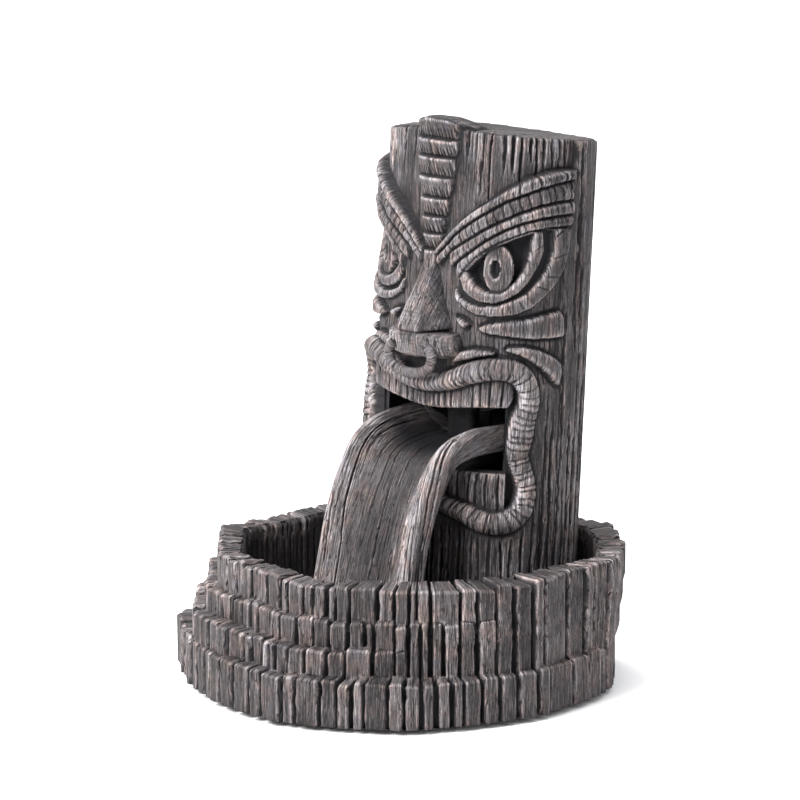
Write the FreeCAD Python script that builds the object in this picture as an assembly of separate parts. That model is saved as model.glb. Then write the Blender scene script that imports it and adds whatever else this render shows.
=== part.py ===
import FreeCAD, Part
import math
import os
from FreeCAD import Vector as V

# Tabletop carved-face fountain: stepped basin, leaning face column, tongue
# chute and the small circulation pump that stands inside the column.
# Millimetres.  +Z up, the face looks along -Y.  The origin is the centre of
# the footprint's bounding rectangle, on the floor.

# ---- driving dimensions ---------------------------------------------------
ORIGIN_X, ORIGIN_Y = 3.5, 10.25      # added to every coordinate at export

# basin
Z_UNDER = 3.0                       # underside of the casting above the floor
Z_T4, Z_T3, Z_T2, Z_RIM = 28.0, 44.0, 57.5, 75.0
Z_FLOOR = 10.0                      # inside floor
PLANK_W = 13.0                      # mean width of one moulded plank
CRACK_W, CRACK_D = 1.7, 2.4         # crack between planks
FOOT_R, FOOT_T = 9.0, 4.0
CORD_NOTCH_W, CORD_NOTCH_D = 9.0, 9.0

RIM = [(-104, -50), (-54, -99), (10, -106), (31, -104.5), (64, -79), (86, -58.5),
       (98, -44.5), (105, -32), (107, -14), (102.5, 14), (101, 49), (81, 75),
       (44, 104), (-42, 106), (-86, 80), (-101, 22)]
TIER2 = [(-109, -54), (-56, -105), (12, -112), (34, -107), (56, -90.5), (72, -78),
         (88, -60.5), (99, -45.5), (105.5, -32), (107, -14), (102.5, 14),
         (100, 48.5), (79.5, 74.5), (44.5, 105), (-42.5, 107), (-88, 81), (-105, 22)]
TIER3 = [(-113, -59), (-59.5, -111), (-27, -118), (20, -120), (38, -113),
         (62, -91), (73, -78), (88, -60.5), (99, -45.5), (105.5, -32), (107, -14),
         (102.5, 14), (99, 48), (78, 73.5), (45, 105.5), (-43, 108), (-90, 82),
         (-108, 21)]
TIER4 = [(-118, -62), (-112, -76), (-73, -105), (-58, -113), (-38, -121),
         (-7, -126.5), (21, -128.5), (56, -113), (85, -91), (97, -66),
         (107.5, -34), (111, -12), (107, 15), (104, 34), (97.5, 50), (76.5, 72),
         (43, 104), (-43, 106), (-91, 82), (-110, 19)]
POOL = [(-90, -44), (-48, -85), (26, -91), (85, -23), (87, 45), (70, 64),
        (38, 90), (-37, 92), (-75, 70), (-87, 20)]

# column: a leaning log of rounded-square section
COL_A, COL_BF, COL_BR = 60.0, 42.0, 40.0   # half width, front and back depth
COL_P = 3.0                                # section exponent
COL_LEAN = 0.06                            # backward lean, mm per mm of height
COL_YTOP, COL_ZTOP = 54.0, 300.0           # axis position at the top
Z_FOOT = 12.0
WALL_LOW, WALL_HIGH = 9.0, 20.0
Z_CHAMBER, Z_CROWN = 205.0, 284.0
TOP_Z_FRONT, TOP_SLOPE = 298.0, 0.12
LIP_R = 6.0
RING_R, RING_Y = 2.8, -5.6
MOUTH_Z0, MOUTH_Z1 = 117.5, 152.0

# pump (axis along X) and plumbing
PY = 46.0                           # pump axis, Y
PZ = 30.0                           # pump axis, Z
BODY_X0, BODY_X1 = -38.0, -6.0
BODY_HW, BODY_Z0, BODY_Z1 = 15.0, 16.0, 50.0
ROTOR_BORE_R = 7.5
MAGNET_R, MAGNET_L = 6.5, 20.0
SHAFT_R = 1.0
BUSH_R = 3.0
IMP_R, IMP_T = 9.5, 5.0
COVER_X0, COVER_X1, COVER_R = -6.0, 6.0, 13.5
INTAKE_X1 = 18.0
BARB_R = 4.45
HOSE_ID_R, HOSE_OD_R = 4.5, 6.3
HOSE_Z0, HOSE_Z1 = 54.0, 150.0
ELBOW_Z = 160.0


def yc(z):
    return COL_YTOP - COL_LEAN * (COL_ZTOP - z)


def box(x0, x1, y0, y1, z0, z1):
    return Part.makeBox(x1 - x0, y1 - y0, z1 - z0, V(x0, y0, z0))


def cyl(r, p, d, h):
    return Part.makeCylinder(r, h, V(*p), V(*d))


def tube(ro, ri, p, d, h):
    return cyl(ro, p, d, h).cut(cyl(ri, p, d, h))


def fuse(first, rest):
    rest = [s for s in rest if s is not None]
    return first.multiFuse(rest) if rest else first


# ---- outlines -------------------------------------------------------------
def notched(poly, seed):
    """A closed outline whose straight sides are split into planks."""
    pts = []
    n = len(poly)
    k = seed
    for i in range(n):
        a, b = V(poly[i][0], poly[i][1], 0), V(poly[(i + 1) % n][0], poly[(i + 1) % n][1], 0)
        d = b - a
        length = d.Length
        d.normalize()
        inward = V(-d.y, d.x, 0)
        pts.append(a)
        m = max(1, int(round(length / PLANK_W)))
        for j in range(1, m):
            k = (k * 1103515245 + 12345) % 2147483648
            t = (j + 0.34 * (k / 2147483648.0 - 0.5)) * length / m
            pts.append(a + d * (t - CRACK_W / 2))
            pts.append(a + d * t + inward * CRACK_D)
            pts.append(a + d * (t + CRACK_W / 2))
    return pts


def slab(pts, z0, z1):
    w = Part.makePolygon([V(p.x, p.y, z0) for p in pts] + [V(pts[0].x, pts[0].y, z0)])
    return Part.Face(w).extrude(V(0, 0, z1 - z0))


def plain(poly):
    return [V(x, y, 0) for x, y in poly]


# ---- basin ----------------------------------------------------------------
def make_basin():
    s = slab(notched(TIER4, 11), Z_UNDER, Z_T4)
    s = fuse(s, [slab(notched(TIER3, 5), Z_UNDER + 6, Z_T3),
                 slab(notched(TIER2, 29), Z_UNDER + 6, Z_T2),
                 slab(notched(RIM, 17), Z_UNDER + 6, Z_RIM)])
    s = s.cut(slab(plain(POOL), Z_FLOOR, Z_RIM + 5))
    for x, y in FEET:
        s = s.cut(cyl(FOOT_R + 0.1, (x, y, Z_UNDER - 1), (0, 0, 1), 2.0))
    s = s.cut(box(-CORD_NOTCH_W / 2, CORD_NOTCH_W / 2, 85, 115, Z_RIM - CORD_NOTCH_D, Z_RIM + 5))
    return s.removeSplitter()


FEET = [(-78, -62), (62, -72), (74, 50), (-68, 68)]

# ---- column ---------------------------------------------------------------


def section(z, off, off_r, n=44):
    pts = []
    for i in range(n):
        t = 2 * math.pi * (i + 0.5) / n
        s, c = math.sin(t), math.cos(t)
        a = COL_A + off
        b = (COL_BF + off) if c > 0 else (COL_BR + off_r)
        x = math.copysign(a * abs(s) ** (2 / COL_P), s)
        y = -math.copysign(b * abs(c) ** (2 / COL_P), c)
        pts.append(V(x, yc(z) + y, z))
    return Part.Face(Part.makePolygon(pts + [pts[0]]))


def log(z0, z1, off=0.0, off_r=None):
    """A length of the leaning log, grown or shrunk by off."""
    if off_r is None:
        off_r = off
    return section(z0, off, off_r).extrude(V(0, COL_LEAN * (z1 - z0), z1 - z0))


def prism(pts, y0=-60.0, y1=None):
    """XZ outline swept back along +Y, front half of the log only."""
    w = Part.makePolygon([V(x, y0, z) for x, z in pts] + [V(pts[0][0], y0, pts[0][1])])
    if y1 is None:
        y1 = yc(sum(z for _, z in pts) / len(pts))
    return Part.Face(w).extrude(V(0, y1 - y0, 0))


def mirror(s):
    return s.mirror(V(0, 0, 0), V(1, 0, 0))


def surf_y(x, z, off=0.0):
    a, b = COL_A + off, COL_BF + off
    t = max(0.0, 1 - (min(abs(x), a) / a) ** COL_P)
    return yc(z) - b * t ** (1 / COL_P)


def poly_solid(loops):
    """Closed solid through matching loops of points, planar or triangulated."""
    faces = []
    n = len(loops[0])
    for la, lb in zip(loops[:-1], loops[1:]):
        for i in range(n):
            j = (i + 1) % n
            p, q, r, t = la[i], la[j], lb[j], lb[i]
            nrm = (q - p).cross(r - p)
            flat = nrm.Length > 1e-9 and abs((t - p).dot(nrm) / nrm.Length) < 1e-6
            if flat:
                faces.append(Part.Face(Part.makePolygon([p, q, r, t, p])))
            else:
                faces.append(Part.Face(Part.makePolygon([p, q, r, p])))
                faces.append(Part.Face(Part.makePolygon([p, r, t, p])))
    for lp in (loops[0], loops[-1]):
        faces.append(Part.Face(Part.makePolygon(lp + [lp[0]])))
    sh = Part.Shell(faces)
    so = Part.Solid(sh)
    if so.Volume < 0:
        so.reverse()
    return so


def band(path, half):
    """Outline of a band of the given half width along an XZ path."""
    left, right = [], []
    n = len(path)
    for i in range(n):
        a, b = path[max(0, i - 1)], path[min(n - 1, i + 1)]
        dx, dz = b[0] - a[0], b[1] - a[1]
        length = math.hypot(dx, dz)
        nx, nz = -dz / length, dx / length
        left.append((path[i][0] + nx * half, path[i][1] + nz * half))
        right.append((path[i][0] - nx * half, path[i][1] - nz * half))
    return left, right


B1U = [(5, 233.6), (11.4, 240.3), (18.2, 247), (24.1, 251.8), (29.7, 256.2), (38.7, 261.9), (48.4, 269), (56.4, 274.6), (60.7, 277.3), (62.6, 277.6)]
B1L = [(6.1, 231.3), (10.9, 234.9), (18.5, 242.3), (24.4, 247.1), (33.9, 253.3), (41.3, 258), (48.6, 262.8), (55.9, 266.9), (59.2, 269.2), (62.6, 271)]
B2L = [(4.5, 224.8), (12.1, 229.4), (17.4, 234.4), (23.4, 238.1), (31.7, 243.3), (38.1, 247.4), (43.9, 250.5), (53.3, 256.1), (59.3, 259.8), (62.6, 260.9)]
B3L = [(16, 225.5), (23.8, 230.7), (32.1, 236.6), (38.4, 241.3), (44.1, 244.9), (49.2, 248.1), (55.7, 251.6), (59.5, 253.3), (62.6, 253.7)]
B4L = [(21.4, 219.4), (26.3, 225.9), (32.4, 231.6), (38.6, 236.2), (45.4, 240.3), (52, 243.7), (57.1, 246.5), (62.6, 247.3)]
EYE = [(24.3, 223.7), (31.1, 230.6), (37.4, 235.4), (44.3, 239.4), (50.9, 242.9), (57, 245.8), (56.9, 237.9), (56.2, 230.9), (54.8, 225.1), (52.5, 219.8), (49.2, 216.2), (46.3, 214.3), (40.9, 213.4), (35.3, 214.1), (30.5, 216.6), (26.7, 220.4)]
RING1 = [(58.7, 246.3), (58.9, 236.2), (58.5, 230.4), (57.6, 225.3), (55.9, 219), (53, 213.9), (48.4, 210.3), (42.3, 207.9), (34.9, 208.1), (28.7, 210.5), (24.1, 213.6)]
RING2IN = [(59.7, 246), (59.7, 236.8), (59.5, 229.9), (58.9, 223.7), (57.7, 218.8), (55.4, 213.8), (51.1, 210.3), (44.5, 207.1), (35.7, 206.4), (28.8, 207.5), (22.8, 209.9)]
RING2OUT = [(62.6, 246), (62.6, 225.1), (61.5, 217.5), (59.2, 211.7), (56.8, 205.9), (52.2, 202.6), (42.6, 201.3), (33.9, 201.5), (27.6, 203.8), (22.6, 206.9)]
CHEEK1 = [(35.6, 194.9), (41.7, 197.6), (51.8, 199.5), (56.2, 199.9), (59.8, 201.4), (62.4, 202.9), (62.4, 188.2), (59.2, 189.1), (52.1, 190.8), (45.5, 191.7), (39.8, 192.3), (37.5, 193.2)]
CHEEK2 = [(49.9, 183.7), (51.5, 185.1), (57.1, 185.1), (60, 182.7), (62.4, 178.3), (62.4, 162.4), (60.6, 167.7), (59.5, 172.9), (58, 177.3), (55.2, 180.9), (50.4, 183.2)]
RIDGE = [(21.2, 176.3), (26.4, 181.3), (34.7, 183.3), (44.2, 183), (46.2, 182.3), (46.3, 181), (39, 179.3), (30, 176.8), (22, 174.7)]
DROP = [(21.1, 199.1), (24.5, 198.9), (30, 196.3), (27.5, 193.8), (24.8, 195.1)]
LIP_PATH = [(0, 161.5), (12, 163.5), (23, 167), (34, 170), (44, 173), (52, 173.2), (57, 170), (59.8, 163), (60.3, 154), (59.6, 145), (58.6, 136), (58.2, 128), (59.3, 119), (60.2, 110), (59.6, 101), (57, 94.5), (51.5, 90.8), (44, 91.5), (35, 94), (24, 97), (12, 98.5), (0, 99)]
MOUTH = [(54, 163), (55.5, 156), (55.2, 146), (53.8, 138), (53.8, 128), (55, 118), (56, 108), (54.5, 101), (50, 97.5), (42, 98.5), (30, 101), (0, 102.5)]
MOUTH_TOP = [(0, 161), (14, 161), (26, 163), (38, 166), (49, 168)]
SCALES = [(300.0, 15.2, 291.6, 14.6), (291.6, 15.2, 282.3, 13.6), (282.3, 14.2, 271.2, 11.8), (271.2, 12.6, 260.3, 9.6), (260.3, 10.6, 250.5, 8.0), (250.5, 9.0, 241.4, 6.1), (241.4, 7.2, 232.6, 4.7)]


def lip_levels():
    """The lip roll, built up in three stepped bands."""
    out = []
    for half, off in ((LIP_R, 1.8), (LIP_R - 1.2, 4.4), (LIP_R - 3.0, 6.0)):
        left, right = band(LIP_PATH, half)
        left = [(min(x, COL_A + 3.0), z) for x, z in left]
        ring = left + right[::-1]
        s = prism(ring, y1=yc(130) - 1).common(log(80, 190, off))
        out += [s, mirror(s)]
    return out


def ellipse(cx, cz, rx, rz, n=20):
    return [(cx + rx * math.cos(2 * math.pi * i / n), cz + rz * math.sin(2 * math.pi * i / n)) for i in range(n)]


def make_column():
    body = log(Z_FOOT, 306.0)
    # forehead cut back above the brow
    fore = B1U + [(63, 307), (-63, 307)] + [(-x, z) for x, z in reversed(B1U)]
    body = body.cut(prism(fore, y1=60.0).cut(log(215, 308, -4.0)))

    def raised(pts, off, lo, hi):
        s = prism(pts).common(log(lo, hi, off))
        return [s, mirror(s)]
    # groove between the two eye rings, then the eye socket
    g = prism(RING1 + RING2IN[::-1], y1=yc(225) - 2).cut(log(190, 260, -2.2))
    body = body.cut(g).cut(mirror(g))
    eye = prism(EYE, y1=yc(225) - 6).cut(log(205, 255, -9.0))
    body = body.cut(eye).cut(mirror(eye))
    # mouth recess
    pk = prism(MOUTH_TOP + MOUTH, y1=yc(130) - 8).cut(log(80, 180, -6.0))
    body = body.cut(pk).cut(mirror(pk))
    # hollow: pump chamber below, lighter core above
    body = body.cut(log(Z_FOOT - 2, Z_CHAMBER, -WALL_LOW))
    body = body.cut(log(Z_CHAMBER - 2, Z_CROWN, -WALL_HIGH, -14.0))
    adds = []
    adds += raised(B1U + B1L[::-1], 2.6, 215, 285)
    adds += raised(B1L + B2L[::-1], 1.6, 215, 285)
    adds += raised(B2L[1:] + B3L[::-1], 2.6, 215, 285)
    adds += raised(B3L + B4L[::-1], 1.8, 210, 285)
    adds += raised(CHEEK1, 2.2, 180, 210)
    adds += raised(CHEEK2, 2.2, 155, 192)
    adds += raised(RIDGE, 3.0, 168, 190)
    adds += raised(DROP, 2.2, 188, 204)
    adds += raised(RING2IN + RING2OUT[::-1], 1.6, 195, 255)
    adds = [a.cut(log(150, 290, -1.0)) for a in adds]
    pup = prism(ellipse(40.8, 225.6, 7.6, 13.0), y1=yc(225) - 2).common(log(205, 250, -3.0)).cut(log(205, 250, -9.5))
    pup = pup.cut(prism(ellipse(39.6, 226.2, 2.6, 4.6, 12), y1=yc(225) - 2).cut(log(205, 250, -7.0)))
    adds += [pup, mirror(pup)]
    # crest of overlapping scales
    for zt, wt, zb, wb in SCALES:
        s = prism([(-wt, zt), (wt, zt), (wb, zb), (-wb, zb)]).common(log(215, 310, 0.4)).cut(log(215, 310, -5.0))
        ledge = prism([(-wt, zt), (wt, zt), (wt - 0.4, zt - 3.2), (-wt + 0.4, zt - 3.2)]).common(log(215, 310, 2.4)).cut(log(215, 310, -1.0))
        adds += [s, ledge]
    adds.append(prism([(-4.4, 232.6), (4.4, 232.6), (3.4, 223.5), (-3.4, 223.5)]).common(log(215, 240, 2.4)).cut(log(215, 240, -1.0)))
    # nose: bridge, nostril block and ring
    bridge = poly_solid([
        [V(-7.5, -11.3, 191.5), V(7.5, -11.3, 191.5), V(17, 8, 191.5), V(17, 13, 191.5), V(-17, 13, 191.5), V(-17, 8, 191.5)],
        [V(-3, 6.8, 226), V(3, 6.8, 226), V(5, 10.863, 226), V(5, 14, 226), V(-5, 14, 226), V(-5, 10.863, 226)]])
    block = poly_solid([
        [V(-6.5, -8.6, 178), V(6.5, -8.6, 178), V(19, -2.5, 178), V(24, 5, 178), V(24, 10, 178), V(-24, 10, 178), V(-24, 5, 178), V(-19, -2.5, 178)],
        [V(-8.5, -9.9, 190), V(8.5, -9.9, 190), V(19, -4.776, 190), V(23, 1.224, 190), V(23, 10, 190), V(-23, 10, 190), V(-23, 1.224, 190), V(-19, -4.776, 190)]])
    web = box(-6.5, 6.5, -8.0, 10, 189.0, 193)
    adds += [bridge, block, web]
    rp = [(-12.2, 184), (-15.2, 176.5), (-13.4, 169.6), (-7.8, 165.4), (0, 164.2), (7.8, 165.4), (13.4, 169.6), (15.2, 176.5), (12.2, 184)]
    path = Part.makePolygon([V(x, RING_Y, z) for x, z in rp])
    d = V(rp[1][0] - rp[0][0], 0, rp[1][1] - rp[0][1])
    d.normalize()
    e = V(0, 1, 0)
    f = d.cross(e)
    octo = [V(rp[0][0], RING_Y, rp[0][1]) + e * (RING_R * math.cos(math.pi / 4 * k)) + f * (RING_R * math.sin(math.pi / 4 * k)) for k in range(8)]
    loops = [octo]
    for i in range(1, len(rp)):
        a, c = rp[i - 1], rp[i]
        seg = V(c[0] - a[0], 0, c[1] - a[1])
        seg.normalize()
        if i < len(rp) - 1:
            nx = V(rp[i + 1][0] - c[0], 0, rp[i + 1][1] - c[1])
            nx.normalize()
            cutn = seg + nx
        else:
            cutn = seg
        cutn.normalize()
        here = V(c[0], RING_Y, c[1])
        loops.append([p + seg * ((here - p).dot(cutn) / seg.dot(cutn)) for p in loops[-1]])
    adds.append(poly_solid(loops))
    # lips and teeth
    adds += [a.cut(log(80, 190, -2.0)) for a in lip_levels()]
    n = 11
    for i in range(n):
        w = 104.0 / n
        x0 = -52 + i * w + 0.5
        for lo, hi in ((153.0, 165.0), (100.0, 116.5)):
            t = prism([(x0, lo), (x0 + w - 1.0, lo), (x0 + w - 1.0, hi), (x0, hi)]).common(log(lo - 3, hi + 5, -1.5)).cut(log(lo - 4, hi + 6, -6.5))
            adds.append(t)
    body = fuse(body, adds)
    # mouth opening through the front wall
    body = body.cut(box(-50, 50, -5, yc(135) - 8, MOUTH_Z0, MOUTH_Z1))
    # openings at the foot: water inlets left and right, cord at the back
    for x in (-70, 46):
        body = body.cut(box(x, x + 24, yc(20) - 11, yc(20) + 11, Z_FOOT - 1, Z_FOOT + 14))
    body = body.cut(box(-6, 6, yc(20) + 20, yc(20) + 50, Z_FOOT - 1, Z_FOOT + 12))
    # sloping sawn top, with the crest left proud at the front
    top = Part.makePolygon([V(-80, -20, TOP_Z_FRONT + TOP_SLOPE * 30), V(-80, 110, TOP_Z_FRONT - TOP_SLOPE * 100),
                            V(-80, 110, 330), V(-80, -20, 330), V(-80, -20, TOP_Z_FRONT + TOP_SLOPE * 30)])
    body = body.cut(Part.Face(top).extrude(V(160, 0, 0)))
    # the cut dips towards the left of the brow
    dip = Part.makePolygon([V(-5, -20, 298.5), V(-80, -20, 290.2), V(-80, -20, 330), V(-5, -20, 330), V(-5, -20, 298.5)])
    body = body.cut(Part.Face(dip).extrude(V(0, 80, 0)))
    side = [(8.6, 290), (8.6, 302.5), (12, 303.8), (20, 303.6), (36, 298.5), (46, 292), (46, 288)]
    knob = Part.Face(Part.makePolygon([V(-20, y, z) for y, z in side] + [V(-20, *side[0])])).extrude(V(40, 0, 0))
    knob = knob.common(prism([(-15, 286), (15, 286), (14.6, 299), (10, 304.5), (-10, 304.5), (-14.6, 299)], y1=80))
    return body.fuse(knob).removeSplitter()


# ---- tongue chute ---------------------------------------------------------
RIDGE_YZ = [(37, 141), (24, 141), (8, 140.5), (-3, 138.5), (-12, 135), (-20, 129), (-26, 120), (-32, 109), (-37, 97), (-41, 84), (-44, 70), (-47, 55), (-49.5, 40), (-51.5, 26), (-53, 8)]
TONGUE_W = [43, 42, 39, 37.5, 36.5, 36, 36, 36, 36, 36.2, 36.5, 37, 37.5, 38, 38.5]
TONGUE_D = [15, 15.5, 16, 16, 15.5, 14.5, 13, 11.5, 10, 9, 8, 7, 6.5, 6, 5.5]
TONGUE_T = 5.5


def make_tongue():
    """U-shaped trough along the flow line, bedded on the mouth's sill."""
    n = len(RIDGE_YZ)
    loops = []
    for i, (y, z) in enumerate(RIDGE_YZ):
        a = RIDGE_YZ[max(0, i - 1)]
        b = RIDGE_YZ[min(n - 1, i + 1)]
        dy, dz = b[0] - a[0], b[1] - a[1]
        length = math.hypot(dy, dz)
        ny, nz = dz / length, -dy / length       # out of the channel
        w, d = TONGUE_W[i], TONGUE_D[i]
        side = -11 - 0.2 * d
        prof = [(-w, side), (-w, -4), (-w + 2.2, -1), (-w + 4.2, 0), (-w + 7, -0.8),
                (-w * 0.55, -d * 0.72), (0, -d), (w * 0.55, -d * 0.72), (w - 7, -0.8), (w - 4.2, 0),
                (w - 2.2, -1), (w, -4), (w, side),
                (w - 5.0, side), (w * 0.52, -d * 0.72 - TONGUE_T - 0.5), (0, -d - TONGUE_T), (-w * 0.52, -d * 0.72 - TONGUE_T - 0.5), (-w + 5.0, side)]
        loops.append([V(x, y + ny * h, z + nz * h) for x, h in prof])
    s = poly_solid(loops)
    s = s.cut(box(-60, 60, -90, 20, -20, Z_FLOOR + 0.4))
    s = s.fuse(box(-28, 28, 2, 36, MOUTH_Z0, MOUTH_Z0 + 5.5))
    socket = box(-9, 9, 30, 36, MOUTH_Z0, ELBOW_Z + 9).cut(cyl(6.1, (0, 20, ELBOW_Z), (0, 1, 0), 30))
    return s.fuse(socket).removeSplitter()


# ---- build ----------------------------------------------------------------
parts = {}
parts["stepped_basin"] = make_basin()
for i, (x, y) in enumerate(FEET):
    parts["basin_foot_%d" % (i + 1)] = cyl(FOOT_R, (x, y, 0.0), (0, 0, 1), FOOT_T)

parts["tiki_column"] = make_column()
parts["tongue_chute"] = make_tongue()

for i, (x, y) in enumerate([(-34, 12), (34, 12), (-34, 62), (34, 62)]):
    yy = surf_y(x, 12) + 4.6 if y < 30 else yc(12) + (COL_BR - 4.6) * (1 - (abs(x) / COL_A) ** COL_P) ** (1 / COL_P)
    parts["column_pad_%d" % (i + 1)] = cyl(4.0, (x, yy, Z_FLOOR), (0, 0, 1), Z_FOOT - Z_FLOOR)

# pump body with rotor well, open at its +X face
body = box(BODY_X0, BODY_X1, PY - BODY_HW, PY + BODY_HW, BODY_Z0, BODY_Z1)
body = body.makeFillet(2.5, [e for e in body.Edges if abs(e.Vertexes[0].Point.x - e.Vertexes[1].Point.x) > 1])
body = body.cut(cyl(ROTOR_BORE_R, (BODY_X1 - 26, PY, PZ), (1, 0, 0), 30))
body = body.cut(cyl(SHAFT_R, (BODY_X1 - 29, PY, PZ), (1, 0, 0), 6))
body = body.cut(tube(ROTOR_BORE_R + 3.2, ROTOR_BORE_R + 1.4, (BODY_X1 - 1.0, PY, PZ), (1, 0, 0), 2))
# closed cavity for the stator
core_out = box(-34, -13, PY - 12.5, PY + 12.5, 18.5, 47.5)
well = cyl(ROTOR_BORE_R + 1.2, (-40, PY, PZ), (1, 0, 0), 40)
stator_space = core_out.cut(well)
body = body.cut(stator_space)
body = body.cut(cyl(2.6, (-40, PY, 42), (1, 0, 0), 7))
cup_xy = [(-32, PY - 10), (-32, PY + 10), (-12, PY - 10), (-12, PY + 10)]
for x, y in cup_xy:
    body = body.cut(cyl(1.6, (x, y, BODY_Z0 - 1), (0, 0, 1), 2.4))
parts["pump_body"] = body
# stator: laminated core around the well, coil on its upper limb
core = box(-30, -14, PY - 12, PY + 12, 18.5, 47).cut(well).cut(box(-31, -13, PY - 8, PY + 8, 38.4, 43.4)).cut(box(-31, -13, PY - 8, PY + 8, 16, 22))
parts["stator_core"] = core
coil = box(-31.6, -13.4, PY - 6.5, PY + 6.5, 39.2, 43.4)
parts["stator_coil"] = coil
parts["cord_gland"] = cyl(2.6, (-39.5, PY, 42), (1, 0, 0), 5.0).fuse(cyl(4.2, (-44.5, PY, 42), (1, 0, 0), 6.5)).cut(cyl(1.5, (-45, PY, 42), (1, 0, 0), 12))
for i, (x, y) in enumerate(cup_xy):
    s = Part.makeCone(5.0, 3.0, 3.2, V(x, y, Z_FLOOR), V(0, 0, 1))
    s = s.cut(Part.makeCone(4.2, 1.5, 1.6, V(x, y, Z_FLOOR), V(0, 0, 1)))
    s = s.fuse(cyl(2.6, (x, y, Z_FLOOR + 3.2), (0, 0, 1), BODY_Z0 - Z_FLOOR - 3.2)).fuse(cyl(1.6, (x, y, BODY_Z0 - 0.5), (0, 0, 1), 1.8))
    parts["suction_cup_%d" % (i + 1)] = s
parts["shaft_bush_rear"] = tube(BUSH_R, SHAFT_R, (BODY_X1 - 26, PY, PZ), (1, 0, 0), 2.0)
parts["rotor_shaft"] = cyl(SHAFT_R, (BODY_X1 - 28, PY, PZ), (1, 0, 0), 39.0)
# rotor: magnet and impeller on one sleeve
mx0 = BODY_X1 - 23.0
parts["rotor_magnet"] = tube(MAGNET_R, 2.6, (mx0, PY, PZ), (1, 0, 0), MAGNET_L)
imp = tube(2.6, SHAFT_R + 0.06, (mx0 - 0.5, PY, PZ), (1, 0, 0), MAGNET_L + 9.0)
imp = imp.fuse(tube(IMP_R, SHAFT_R + 0.06, (BODY_X1 + 1.0, PY, PZ), (1, 0, 0), 1.2))
for k in range(6):
    bl = box(BODY_X1 + 1.4, BODY_X1 + 1.0 + IMP_T, -0.5, 0.5, 1.8, IMP_R)
    bl.rotate(V(0, 0, 0), V(1, 0, 0), 60 * k)
    bl.translate(V(0, PY, PZ))
    imp = imp.fuse(bl)
parts["impeller"] = imp
# volute cover with the vertical outlet barb
cov = cyl(COVER_R, (COVER_X0, PY, PZ), (1, 0, 0), COVER_X1 - COVER_X0)
cov = cov.fuse(cyl(6.0, (0, PY, PZ), (0, 0, 1), 24.0)).fuse(cyl(BARB_R, (0, PY, PZ + 23), (0, 0, 1), 15.0))
cov = cov.fuse(cyl(COVER_R - 3.5, (COVER_X1, PY, PZ), (1, 0, 0), 2.2))
cov = cov.cut(cyl(10.6, (COVER_X0 - 1, PY, PZ), (1, 0, 0), 10.0))
cov = cov.cut(cyl(3.4, (0, PY, PZ), (0, 0, 1), 40.0))
spider = cyl(3.0, (COVER_X1 - 3.0, PY, PZ), (1, 0, 0), 5.2)
arms = box(COVER_X1 - 3.0, COVER_X1 + 2.2, PY - 0.9, PY + 0.9, PZ - 7.4, PZ + 7.4)
cov = cov.cut(cyl(7.0, (COVER_X1 - 4, PY, PZ), (1, 0, 0), 8.0)).fuse(arms).fuse(spider)
cov = cov.cut(cyl(SHAFT_R, (COVER_X0, PY, PZ), (1, 0, 0), 11.0))
parts["volute_cover"] = cov
parts["cover_o_ring"] = Part.makeTorus(ROTOR_BORE_R + 2.3, 0.85, V(BODY_X1 - 0.15, PY, PZ), V(1, 0, 0)).common(box(-20, BODY_X1, PY - 20, PY + 20, 0, 60))
# slotted intake cover, slips over the volute cover's spigot
ic = cyl(COVER_R, (COVER_X1, PY, PZ), (1, 0, 0), INTAKE_X1 - COVER_X1)
ic = ic.cut(cyl(COVER_R - 1.6, (COVER_X1 + 2.6, PY, PZ), (1, 0, 0), INTAKE_X1 - COVER_X1 - 4.4))
ic = ic.cut(cyl(COVER_R - 3.4, (COVER_X1 - 1, PY, PZ), (1, 0, 0), 4.0))
for k in range(-3, 4):
    if k == 0:
        continue
    h = math.sqrt(max(0.0, 10.0 ** 2 - (k * 3.0) ** 2))
    ic = ic.cut(box(INTAKE_X1 - 3, INTAKE_X1 + 1, PY + k * 3.0 - 0.7, PY + k * 3.0 + 0.7, PZ - h, PZ + h))
# slider track: a slot the slider's stem runs in
ic = ic.cut(box(INTAKE_X1 - 3, INTAKE_X1 + 1, PY - 0.8, PY + 0.8, PZ - 7, PZ + 7))
parts["intake_cover"] = ic
parts["filter_sponge"] = tube(COVER_R - 1.7, 5.2, (COVER_X1 + 4.2, PY, PZ), (1, 0, 0), 4.0)
sl = box(INTAKE_X1 + 0.15, INTAKE_X1 + 1.35, PY - 3.4, PY + 3.4, PZ - 6.5, PZ - 0.5)
sl = sl.fuse(box(INTAKE_X1 - 2.6, INTAKE_X1 + 0.5, PY - 0.7, PY + 0.7, PZ - 5.5, PZ - 3.5))
sl = sl.fuse(box(INTAKE_X1 - 3.4, INTAKE_X1 - 2.2, PY - 1.9, PY + 1.9, PZ - 6.3, PZ - 2.7))
sl = sl.fuse(box(INTAKE_X1 + 1.2, INTAKE_X1 + 2.8, PY - 3.0, PY + 3.0, PZ - 4.2, PZ - 2.8))
parts["flow_slider"] = sl
# hose and elbow
parts["delivery_hose"] = tube(HOSE_OD_R, HOSE_ID_R, (0, PY, HOSE_Z0), (0, 0, 1), HOSE_Z1 - HOSE_Z0)
c = Part.Wire([Part.LineSegment(V(0, PY, HOSE_Z1 - 13), V(0, PY, ELBOW_Z - 10)).toShape(),
               Part.Arc(V(0, PY, ELBOW_Z - 10), V(0, PY - 10 + 10 * math.cos(math.radians(45)), ELBOW_Z - 10 + 10 * math.sin(math.radians(45))), V(0, PY - 10, ELBOW_Z)).toShape(),
               Part.LineSegment(V(0, PY - 10, ELBOW_Z), V(0, 29, ELBOW_Z)).toShape()])


def pipe(r):
    prof = Part.Wire([Part.makeCircle(r, V(0, PY, HOSE_Z1 - 13), V(0, 0, 1))])
    return c.makePipeShell([prof], True, False)


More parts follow.
